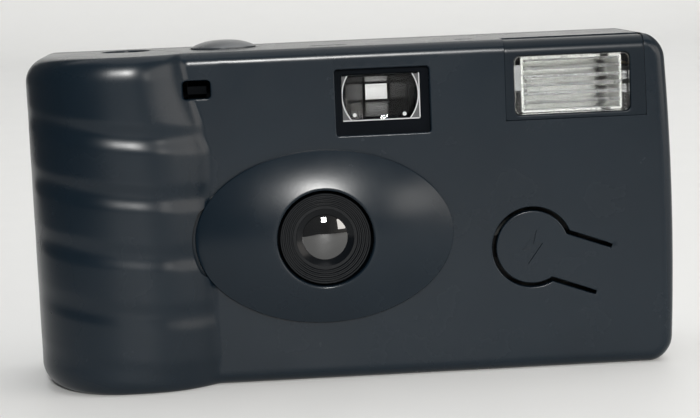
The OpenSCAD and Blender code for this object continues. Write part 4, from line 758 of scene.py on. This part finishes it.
def front_cover():
    """Front shell: sheet, bulge, sides, top and bottom."""
    skin = Skin()
    bottom, top, right_side, left_side = front_sheet(skin)
    bulge(skin)
    edge_y = SEAM_Y - SEAM_BEVEL
    for side in (left_side, right_side):
        ring = [front_place(*p) for p in side]
        rings = [[(x, lerp(y, edge_y, t), z) for x, y, z in ring] for t in (0.0, 0.5, 1.0)]
        skin.strip(rings, closed=False)
    notch_x0, notch_x1 = BEZEL_X0 - NOTCH_GAP, RIGHT_X - CORNER_R
    notch_y = FRONT_Y + BEZEL_DEPTH + NOTCH_GAP
    front = [front_place(*p)[:2] for p in top] + [front_place(notch_x0, BODY_H + STRETCH)[:2]]
    around = front + [(notch_x0, notch_y), (notch_x1, notch_y), (notch_x1, edge_y)]
    around += [(x, edge_y) for x in spread(notch_x1, front[0][0], PANEL_STEP)[1:]]

    def top_place(x, y, drop=0.0):
        return x, y, BODY_H - drop

    holes = [
        lip(skin, lambda g: circle(BUTTON_X, BUTTON_Y, BUTTON_R + BUTTON_GAP + g), top_place, TOP_LIP),
        lip(skin, lambda g: circle(COUNTER_X, COUNTER_Y, COUNTER_R + COUNTER_GAP + g), top_place, TOP_LIP),
    ]
    for x0, length in SLOTS:
        box = (x0 + length / 2, SLOT_Y, length, SLOT_W, SLOT_CORNER_R)
        holes.append(lip(skin, lambda g: rounded(*box, g, 0.5, 3), top_place, SLOT_LIP))
    skin.sheet(top_place, around, holes)
    strip = [(notch_x0, front[-1][1], BODY_H), (notch_x0, notch_y, BODY_H), (notch_x1, notch_y, BODY_H)]
    skin.strip([strip, [(x, y, z - WALL) for x, y, z in strip]], closed=False)
    base = [front_place(*p)[:2] for p in bottom]
    around = base + [(x, edge_y) for x in spread(base[-1][0], base[0][0], PANEL_STEP)]
    door = [(DOOR_X0, DOOR_Y0), (DOOR_X1, DOOR_Y0), (DOOR_X1, DOOR_Y1), (DOOR_X0, DOOR_Y1)]
    skin.sheet(lambda x, y: (x, y, 0.0), around, [door])
    skin.strip([[(x, y, z) for x, y in door] for z in (0.0, WALL)])
    rings = [(0.0, edge_y), (SEAM_IN, SEAM_Y), (WALL, SEAM_Y)]
    skin.strip([outline_ring(d, y) for d, y in rings])
    skin.bow()
    build("front_cover_shell", skin, COVER, ["front_cover"])


def flash_button():
    """Tongue of the flash button with rounded edges and an engraved bolt."""
    skin = Skin()
    face = brim(skin, lambda g: keyhole(0.0, g), keyhole_place, CHARGE_EDGE_R)
    bolt = [(CHARGE_X + u, CHARGE_Z + v) for u, v in BOLT]
    skin.sheet(lambda x, z: (x, FRONT_Y, z), face, [bolt])
    drawn = [(lerp(x, CHARGE_X, BOLT_DRAFT), lerp(z, CHARGE_Z, BOLT_DRAFT)) for x, z in bolt]
    floor = upright(drawn, FRONT_Y + BOLT_DEPTH)
    skin.strip([upright(bolt, FRONT_Y), floor])
    skin.cap(floor)
    build("flash_button_tongue", skin, COVER, ["flash_button"], body="flash_button")


def rear_cover():
    """Back shell with its openings."""
    skin = Skin()
    seam_y = SEAM_Y + SEAM_GAP
    rings = [(WALL, seam_y), (SEAM_IN, seam_y), (0.0, SEAM_Y + SEAM_BEVEL), (0.0, BACK_Y - EDGE_R)]
    rings += [(down, BACK_Y - EDGE_R + out) for out, down in bend(EDGE_R, 8)[1:]]
    skin.strip([outline_ring(d, y) for d, y in rings])

    def place(x, z, drop=0.0):
        return x, BACK_Y - drop, z

    holes = [
        lip(skin, lambda g: rounded(WHEEL_X, WHEEL_Z, WHEEL_W, WHEEL_H, 0.5, g), place, BACK_LIP),
        lip(skin, lambda g: rounded(FINDER_X, FINDER_Z, EYE_W, EYE_H, 0.8, g), place, BACK_LIP),
        lip(skin, lambda g: circle(PIPE_X, FINDER_Z, PIPE_R + PIPE_GAP + g, 40), place, PIPE_LIP),
    ]
    outer = [(x, z) for x, _, z in outline_ring(EDGE_R, BACK_Y)]
    skin.sheet(place, outer, holes)
    skin.bow()
    build("rear_cover_shell", skin, COVER, ["rear_cover"])


def bezel_place(x, s, drop=0.0):
    """Point of the flash insert, s along its front and over the top edge."""
    sunk = BEZEL_IN * min(max((BEZEL_X1 - x) / (BEZEL_X1 - BEZEL_X0), 0.0), 1.0)
    y0 = FRONT_Y + sunk
    flat = BODY_H - BEZEL_IN - EDGE_R - BEZEL_Z0
    turn = min(max((s - flat) / EDGE_R, 0.0), math.pi / 2)
    past = max(s - flat - EDGE_R * math.pi / 2, 0.0)
    y = y0 + EDGE_R - (EDGE_R - drop) * math.cos(turn) + past
    z = BEZEL_Z0 + min(s, flat) + (EDGE_R - drop) * math.sin(turn)
    return x, y, z


def flash_bezel():
    """Insert round the flash window with softened edges."""
    skin = Skin()
    flat = BODY_H - BEZEL_IN - EDGE_R - BEZEL_Z0
    length = flat + EDGE_R * math.pi / 2 + BEZEL_DEPTH - BEZEL_IN - EDGE_R
    wide, mid = BEZEL_X1 - BEZEL_X0, (BEZEL_X0 + BEZEL_X1) / 2
    plate = (mid, length / 2, wide, length, BEZEL_CORNER_R)
    face = brim(skin, lambda g: rounded(*plate, g, 0.45), bezel_place, BEZEL_EDGE_R, BEZEL_T)
    opening = (FLASH_X, FLASH_Z - BEZEL_Z0, FLASH_W + 0.2, FLASH_H + 0.2, WINDOW_CORNER_R)
    hole = lip(skin, lambda g: rounded(*opening, g), bezel_place, WINDOW_EDGE_R, BEZEL_T)
    grid = [(x, s) for x in spread(BEZEL_X0, BEZEL_X1, 0.5) for s in spread(flat - 0.9, length, 0.3)]
    skin.sheet(bezel_place, face, [hole], grid)
    skin.bow()
    build("flash_bezel_insert", skin, INSERT, ["flash_bezel"])


def flash_window():
    """Clear window with a ribbed diffuser on its inner face."""
    skin = Skin()
    back = WINDOW_Y0 + WINDOW_T

    def edge(grow):
        return rounded(FLASH_X, FLASH_Z, FLASH_W, FLASH_H, WINDOW_CORNER_R, grow)

    def place(x, z, drop=0.0):
        return x, WINDOW_Y0 + drop, z

    face = brim(skin, edge, place, WINDOW_EDGE_R, WINDOW_T)
    skin.cap([place(*p) for p in face])
    x0, x1 = FLASH_X - RIB_W / 2, FLASH_X + RIB_W / 2
    rows = spread(-RIB_SPAN / 2, RIB_SPAN / 2, RIB_SPAN / RIB_COUNT / 8)
    hole = [(x0, FLASH_Z + h) for h in rows] + [(x1, FLASH_Z + h) for h in reversed(rows)]
    skin.sheet(lambda x, z: (x, back, z), edge(0.0), [hole])
    relief = [RIB_H * abs(math.sin(math.pi * RIB_COUNT * (h / RIB_SPAN + 0.5))) for h in rows]
    ends = [[(x, back + r, FLASH_Z + h) for h, r in zip(rows, relief)] for x in (x0, x1)]
    skin.strip(ends, closed=False)
    for x, end in zip((x0, x1), ends):
        skin.strip([[(x, back, FLASH_Z + h) for h in rows], end], closed=False)
    build("flash_window_clear", skin, CLEAR, ["flash_window"], 25.0)


def flash_reflector():
    """Bright trough with slanted ends and a narrow rim."""
    skin = Skin()
    half_w, half_h = REFLECTOR_W / 2 - 0.4, BOWL_R
    section = [(REFLECTOR_Y0, half_h), (lerp(REFLECTOR_Y0, BOWL_Y, 0.5), half_h)]
    section += [(BOWL_Y + BOWL_R * math.sin(a), BOWL_R * math.cos(a)) for a in np.linspace(0, math.pi, 25)]
    section += [(lerp(REFLECTOR_Y0, BOWL_Y, 0.5), -half_h), (REFLECTOR_Y0, -half_h)]
    deep = BOWL_Y + BOWL_R - REFLECTOR_Y0
    rings = []
    for t in (-1.0, -0.5, 0.0, 0.5, 1.0):
        rings.append([(FLASH_X + t * (half_w - END_SLANT * (y - REFLECTOR_Y0) / deep), y, FLASH_Z + z)
                      for y, z in section])
    skin.strip(rings, closed=False)
    skin.cap(rings[0], rings[-1])
    rim = [(REFLECTOR_W, REFLECTOR_H, REFLECTOR_Y0 + 0.5), (REFLECTOR_W, REFLECTOR_H, REFLECTOR_Y0),
           (2 * half_w, 2 * half_h, REFLECTOR_Y0)]
    skin.strip([boxed(FLASH_X, FLASH_Z, w, h, y) for w, h, y in rim])
    x0, x1 = FLASH_X - FLASH_W / 2 + 0.1, FLASH_X - REFLECTOR_W / 2
    z0, z1 = FLASH_Z - EAR_DROP, FLASH_Z + EAR_RISE
    rings = [upright([(x0, z0), (x1, z0), (x1, z1), (x0, z1)], y) for y in (EAR_Y1, EAR_Y0)]
    side = Skin()
    side.strip(rings)
    side.cap(rings[1], rings[0])
    build("flash_reflector_ear", side, FROST_AND_GLINT)
    build("flash_reflector_trough", skin, MIRROR, ["flash_reflector"])


def rod(skin, profile, count=40):
    """Closed rod on the axis of the flash tube, from points of radius and place."""
    rings = lathe(skin, profile, (TUBE_Y, FLASH_Z), "x", count)
    skin.cap(rings[0], rings[-1])


def flash_tube():
    """Glass tube with its bore, the electrodes inside it and the wires at its ends."""
    glass = Skin()
    x0, x1 = FLASH_X - TUBE_HALF, FLASH_X + TUBE_HALF
    soft = TUBE_SOFT
    rod(glass, [(TUBE_R - soft, x0), (TUBE_R, x0 + soft), (TUBE_R, x1 - soft), (TUBE_R - soft, x1)])
    rod(glass, [(TUBE_BORE, x0 + TUBE_END), (TUBE_BORE, x1 - TUBE_END)])
    build("flash_tube_glass", glass, GLASS, ["flash_tube"])
    caps = Skin()
    for a, b in ELECTRODES:
        rod(caps, [(ELECTRODE_TIP, a), (ELECTRODE_R, a + ELECTRODE_SOFT),
                   (ELECTRODE_R, b - ELECTRODE_SOFT), (ELECTRODE_TIP, b)])
    build("flash_tube_electrodes", caps, DARK_METAL)
    leads = Skin()
    rod(leads, [(LEAD_R, x0 - LEAD_OUT), (LEAD_R, ELECTRODES[0][0])], 12)
    rod(leads, [(LEAD_R, ELECTRODES[1][1]), (LEAD_R, x1 + LEAD_OUT)], 12)
    for x in (x0 - LEAD_BEND, x1 + LEAD_BEND):
        rings = lathe(leads, [(LEAD_R, LEAD_Z0), (LEAD_R, FLASH_Z + 0.2)], (x, TUBE_Y), "z", 12)
        leads.cap(rings[1])
    clip_x = FLASH_X + FLASH_W / 2 - CLIP_IN
    for z0, z1 in CLIPS:
        rings = [boxed(clip_x, (z0 + z1) / 2, CLIP_W, z1 - z0, y) for y in (CLIP_Y1, CLIP_Y0)]
        leads.strip(rings)
        leads.cap(*rings)
    build("flash_tube_leads", leads, STEEL, ["tube_leads"])


def viewfinder():
    """Dark frame and tunnel of the viewfinder, and its hollowed front lens, with painted glints along the
    hollow's edge, the bottom and right edges and two nibs, and painted light on its flat sides.
    """
    skin = Skin()
    lens_y = FINDER_LENS_Y
    deep = lens_y + GLASS_T
    left, right = GLASS_X - GLASS_W / 2, GLASS_X + GLASS_W / 2
    low, high = GLASS_Z - GLASS_H / 2, GLASS_Z + GLASS_H / 2
    rings = [(FINDER_X, FINDER_Z, FINDER_W - TUNNEL_SLIP, FINDER_H - TUNNEL_SLIP, y)
             for y in (deep, FINDER_FACE_Y)]
    rings += [(GLASS_X, GLASS_Z, GLASS_W + wide, GLASS_H + tall, y) for wide, tall, y in (
        (0.4, 0.4, FINDER_FACE_Y), (0.1, 0.1, FINDER_FACE_Y + 0.15),
        (0.1, 0.1, deep + LENS_GAP), (-1.2, -1.0, deep + LENS_GAP))]
    rings.append((MASK_X, MASK_Z, MASK_W + MASK_LAND, MASK_H + MASK_LAND, MASK_Y))
    rings += [(FINDER_X, FINDER_Z, TUNNEL_W, TUNNEL_H, y)
              for y in (MASK_Y + 0.1, MASK_Y + MASK_T, BACK_Y - WALL - 0.1)]
    skin.strip([boxed(*ring) for ring in rings])
    build("viewfinder_tunnel", skin, GLOSS, ["viewfinder_frame"])
    plate = Skin()
    rings = [(MASK_LAND, 0.0), (0.0, 0.0), (0.0, MASK_T), (MASK_BACK_LAND, MASK_T)]
    plate.strip([boxed(MASK_X, MASK_Z, MASK_W + land, MASK_H + land, MASK_Y + back - LENS_GAP)
                 for land, back in rings])
    build("viewfinder_mask", plate, MASK)
    lens = Skin()
    edge = rounded(GLASS_X, GLASS_Z, GLASS_W, GLASS_H, 0.3, 0.0, 0.4)
    sag = math.sqrt(HOLLOW_R ** 2 - HOLLOW_EDGE_R ** 2)

    def front(x, z):
        r = min(math.hypot(x - HOLLOW_X, z - HOLLOW_Z), HOLLOW_EDGE_R)
        return x, lens_y + math.sqrt(HOLLOW_R ** 2 - r * r) - sag, z

    grid = [(x, z) for x in spread(left, right, 0.35) for z in spread(low, high, 0.35)]
    ring = circle(HOLLOW_X, HOLLOW_Z, HOLLOW_EDGE_R, 160)
    kept = inside(np.array(ring), edge)
    first = next(i for i in range(160) if kept[i] and not kept[i - 1])
    lines = runs(ring[first:] + ring[:first], np.roll(kept, -first))
    lens.sheet(front, edge, (), grid, lines, 0.12)
    lens.strip([[front(*p) for p in edge], upright(edge, deep)])
    lens.cap(upright(edge, deep))
    # rim gathers the painted glints on the lens; land gathers the painted light on its flat sides
    rim, land = Skin(), Skin()
    rim_y, land_y, nib_y = lens_y - EDGE_LIFT, lens_y - EDGE_LIFT / 2, lens_y - 2 * EDGE_LIFT
    wider = 1 + GLINT_LINE / HOLLOW_EDGE_R
    for line in lines:
        outer = [(lerp(HOLLOW_X, x, wider), lerp(HOLLOW_Z, z, wider)) for x, z in line]
        rim.strip([upright(line, rim_y), upright(outer, rim_y)], closed=False)
        end = GLASS_X + math.copysign(GLASS_W / 2, line[0][0] - GLASS_X)
        land.strip([upright(line, land_y), [(end, land_y, z) for _, z in line]], closed=False)
    for x, z in NIB_GLINTS:
        rim.cap(upright(circle(x, z, NIB_GLINT_R, 20), nib_y))
    build("viewfinder_lens_painted_light", land, PAINTED_LAND_LIGHT)
    # painted glints along the lens's bottom and right edges
    for x0, z1 in ((left, low + GLINT_LINE), (right - GLINT_LINE, high)):
        rim.cap(upright([(x0, low), (right, low), (right, z1), (x0, z1)], rim_y))
    build("viewfinder_lens_painted_glints", rim, FROST_AND_GLINT)
    build("viewfinder_front_lens", lens, FINDER_GLASS, ["viewfinder_lens"], 24.0)


def lens_parts():
    """Stepped black ring round the lens, and the lens."""
    ring = Skin()
    soft, proud = RING_SOFT, RIDGE_H
    profile = [(RING_R, RING_BACK_Y), (RING_R, RING_FACE_Y + soft), (RING_R - soft, RING_FACE_Y)]
    r, y = RING_R - RING_LAND, RING_FACE_Y
    for _ in range(RING_STEPS):
        profile += [(r + RIDGE_OUT, y), (r + RIDGE_IN, y - proud), (r + soft, y - proud), (r, y + soft)]
        y += RING_STEP_D
        profile.append((r, y))
        r -= RING_STEP_W
    profile += [(r + 0.1, y), (r, y + 0.1), *SEAT]
    lathe(ring, profile, (LENS_X, LENS_Z), "y")
    build("lens_ring_steps", ring, RING, ["lens_ring"], 28.0)
    lens = Skin()

    def dish(radius, vertex, r):
        return r, vertex + radius - math.sqrt(radius ** 2 - r * r)

    steps = np.linspace(0.02, LENS_RIM_R, 16)
    profile = [dish(LENS_FRONT_R, LENS_FRONT_Y, r) for r in steps]
    profile += [(LENS_RIM_R, FLANGE_Y0), (FLANGE_R, FLANGE_Y0)]
    profile += [(FLANGE_R, FLANGE_Y1), (LENS_RIM_R, FLANGE_Y1)]
    profile += [dish(LENS_BACK_R, LENS_BACK_Y, r) for r in reversed(steps)]
    rings = lathe(lens, profile, (LENS_X, LENS_Z), "y")
    lens.cap(rings[0], rings[-1])
    build("taking_lens_glass", lens, PAINTED_SHADE_GLASS, ["taking_lens"], 24.0)


def shutter_button():
    """Domed shutter button."""
    skin = Skin()
    profile = [(BUTTON_R - BUTTON_WALL, BUTTON_LOW), (BUTTON_R, BUTTON_LOW), (BUTTON_R, BUTTON_EDGE)]
    rise = BUTTON_TOP - BUTTON_EDGE
    profile += [(BUTTON_R * t, BUTTON_TOP - rise * t ** BUTTON_POWER) for t in np.linspace(0.98, 0.01, 30)]
    rings = lathe(skin, profile, (BUTTON_X, BUTTON_Y), "z", 72)
    skin.cap(rings[-1])
    build("shutter_button_cap", skin, BUTTON, ["shutter_button"], body="shutter_button")


def counter():
    """Clear counter window, and the numerals and dots on the dial under it."""
    skin = Skin()
    low, high, side = COUNTER_LOW, COUNTER_HIGH, COUNTER_R - 0.05
    profile = [(COUNTER_R - 0.2, low), (side, low + 0.2), (side, high - 0.3)]
    profile += [(COUNTER_R - 0.3, high - 0.05), (COUNTER_R - 1.2, high)]
    rings = lathe(skin, profile, (COUNTER_X, COUNTER_Y), "z", 64)
    skin.cap(rings[0], rings[-1])
    build("counter_window_clear", skin, CLEAR, ["counter_window"])
    marks = bmesh.new()
    middle = Matrix.Translation(Vector((DIAL_X, DIAL_Y, DIAL_Z + 0.01)) * MM)
    for k in range(MARK_COUNT):
        turn = Matrix.Rotation(math.radians(DIAL_STEP * k + DIAL_START), 4, "Z")
        spot = middle @ turn @ Matrix.Translation((DIAL_RING * MM, 0, 0))
        if k % MARKS_A_NUMERAL:
            bmesh.ops.create_circle(marks, cap_ends=True, segments=12, radius=DOT_R * MM, matrix=spot)
            continue
        text = bpy.data.curves.new("numeral", "FONT")
        text.body = str(k)
        text.size = NUMERAL_SIZE * MM
        text.extrude = NUMERAL_T * MM
        text.align_x, text.align_y = "CENTER", "CENTER"
        holder = bpy.data.objects.new("numeral", text)
        mesh = bpy.data.meshes.new_from_object(holder)
        bpy.data.objects.remove(holder)
        mesh.transform(spot @ Matrix.Rotation(-math.pi / 2, 4, "Z"))
        marks.from_mesh(mesh)
    mesh = bpy.data.meshes.new("counter_marks")
    marks.to_mesh(mesh)
    marks.free()
    mesh.materials.append(NUMERAL)
    piece = shown("counter_marks", mesh)
    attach(piece, "counter_dial")


FINISHES = {
    "film_door": COVER, "flash_board": BOARD, "flash_capacitor": GLOSS, "flash_transformer": BRASS,
    "charge_contact": SHADED_CONTACT, "sync_contact": BRASS, "neon_lamp": CLEAR, "ready_light_pipe": CLEAR,
    "battery": WRAPPER, "battery_contact_top": BRASS, "battery_contact_bottom": BRASS,
    "eyepiece_lens": GLASS, "shutter_plate": PLATE, "shutter_blade": DEEP, "blade_spring": STEEL,
    "striker": PALE, "striker_spring": STEEL, "release_lever": PALE, "thumbwheel": BLACK,
    "wheel_pawl": PALE, "sprocket": PALE, "counter_dial": BLACK, "mechanism_plate": INNER,
    "chassis": INNER, "light_baffle": DEEP, "cassette_shell": GLOSS, "cassette_spool": FILM,
    "film_strip": FILM, "film_roll": FILM, "supply_spool": PALE,
}
SOFT_EDGES = {"film_door": 0.25, "thumbwheel": 0.12, "counter_dial": 0.08}


def carried_nodes():
    """Finish of the CAD nodes that stay as they are, with softened edges on those in view."""
    for name, finish in FINISHES.items():
        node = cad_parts[name]
        node.data.materials.clear()
        node.data.materials.append(finish)
    for name, width in SOFT_EDGES.items():
        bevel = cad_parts[name].modifiers.new("bevel", "BEVEL")
        bevel.width = width * MM
        bevel.segments = 3
        bevel.limit_method = "ANGLE"
        bevel.harden_normals = True


front_cover()
flash_button()
rear_cover()
flash_bezel()
flash_window()
flash_reflector()
flash_tube()
viewfinder()
lens_parts()
shutter_button()
counter()
carried_nodes()


# Studio

SWEEP_Y, SWEEP_R, WALL_TOP = 1.2, 0.6, 3.0
FLOOR_LEFT = (-0.25, 0.1, SWEEP_Y), (-0.14, -0.24, -0.6)
# The floor's ramp darkens it towards the front, from y -0.5 to -0.15 m: painted shade for the dark room in
# front of the camera.
FLOOR_RIGHT, FLOOR_FRONT, FLOOR_SHADE_SPAN = 0.9, -0.7, (-0.5, -0.15)
FLOOR_TONES = [(0.1, (0.40, 0.40, 0.40)), (0.875, (0.74, 0.745, 0.74)), (1.0, (0.78, 0.785, 0.78))]
ROOM_TONES = [(0.0, (0.105, 0.110, 0.116)), (0.55, (0.09, 0.09, 0.09)), (1.0, (0.40, 0.38, 0.35))]
CAMERA_TURNS, CAMERA_PLACE, CAMERA_LENS = (3.310, 7.479, -2.370), (-20.778, -357.692, 76.589), 99.25


def backdrop():
    """Pale floor that sweeps up into a wall far behind the object, darkened towards the front by painted
    shade.
    """
    material, tree, shader = shader_nodes("floor_paper")
    # painted shade: darker floor in front of the object
    near = placed(tree, "Y", *FLOOR_SHADE_SPAN, 4.0, 0.2)
    tree.links.new(ramp(tree, near, FLOOR_TONES), shader.inputs["Base Color"])
    tree.links.new(spanned(tree, noise(tree, 40.0), 0.55, 0.7), shader.inputs["Roughness"])
    profile = [(y, 0.0) for y in (FLOOR_FRONT, *FLOOR_LEFT[0])]
    profile += [(SWEEP_Y + SWEEP_R * math.sin(a), SWEEP_R * (1 - math.cos(a)))
                for a in np.linspace(0.1, math.pi / 2, 14)]
    profile += [(SWEEP_Y + SWEEP_R, WALL_TOP)]
    mesh = bpy.data.meshes.new("floor_sweep")
    points = [(x, y, z) for y, z in profile for x in (np.interp(y, *FLOOR_LEFT), FLOOR_RIGHT)]
    mesh.from_pydata(points, [], [(2 * k, 2 * k + 1, 2 * k + 3, 2 * k + 2) for k in range(len(profile) - 1)])
    mesh.polygons.foreach_set("use_smooth", [True] * len(mesh.polygons))
    mesh.materials.append(material)
    shown("floor_sweep", mesh)


def area_light(name, place, target, size, power, colour):
    """Soft box at a place, turned to a target, in metres."""
    data = bpy.data.lights.new(name, "AREA")
    data.shape = "RECTANGLE"
    data.size, data.size_y = size
    data.energy = power
    data.color = colour
    light = shown(name, data)
    light.location = place
    light.rotation_euler = (Vector(target) - Vector(place)).to_track_quat("-Z", "Y").to_euler()


def world_light():
    """Dim room light, darker on the left and warmer on the right."""
    world = bpy.data.worlds.new("studio")
    world.use_nodes = True
    tree = world.node_tree
    sides = ramp(tree, along(tree, "Generated", "X", -1.0, 1.0), ROOM_TONES)
    tree.links.new(sides, tree.nodes["Background"].inputs["Color"])
    bpy.context.scene.world = world


def camera():
    """Camera where the photograph was taken from."""
    yaw, pitch, roll = (math.radians(a) for a in CAMERA_TURNS)
    ahead = Vector((math.sin(yaw) * math.cos(pitch), math.cos(yaw) * math.cos(pitch), -math.sin(pitch)))
    side = Vector((math.cos(yaw), -math.sin(yaw), 0.0))
    up = side.cross(ahead)
    right = math.cos(roll) * side + math.sin(roll) * up
    above = math.cos(roll) * up - math.sin(roll) * side
    data = bpy.data.cameras.new("camera")
    data.sensor_width = 36.0
    data.lens = CAMERA_LENS
    data.clip_start = 0.01
    view = shown("camera", data)
    turn = Matrix((right, above, -ahead)).transposed().to_4x4()
    view.matrix_world = Matrix.Translation(Vector(CAMERA_PLACE) * MM) @ turn
    bpy.context.scene.camera = view


bpy.context.scene.view_settings.view_transform = "Standard"
backdrop()
world_light()
area_light("overhead", (0.32, 0.2, 1.8), (0.17, 0.1, 0.0), (2.4, 2.4), 23.4, (1.0, 1.0, 1.0))
area_light("lamp", (0.08, -4.0, 1.65), (-0.02, 0.0, 0.03), (0.55, 0.55), 166.0, (1.0, 0.99, 0.97))
area_light("window", (0.97, -1.65, 0.45), (0.0, 0.0, 0.03), (0.40, 0.55), 4.2, (1.0, 0.96, 0.91))
area_light("wall", (1.35, -0.75, 0.35), (0.0, 0.0, 0.03), (1.3, 0.9), 10.0, (1.0, 0.94, 0.88))
camera()
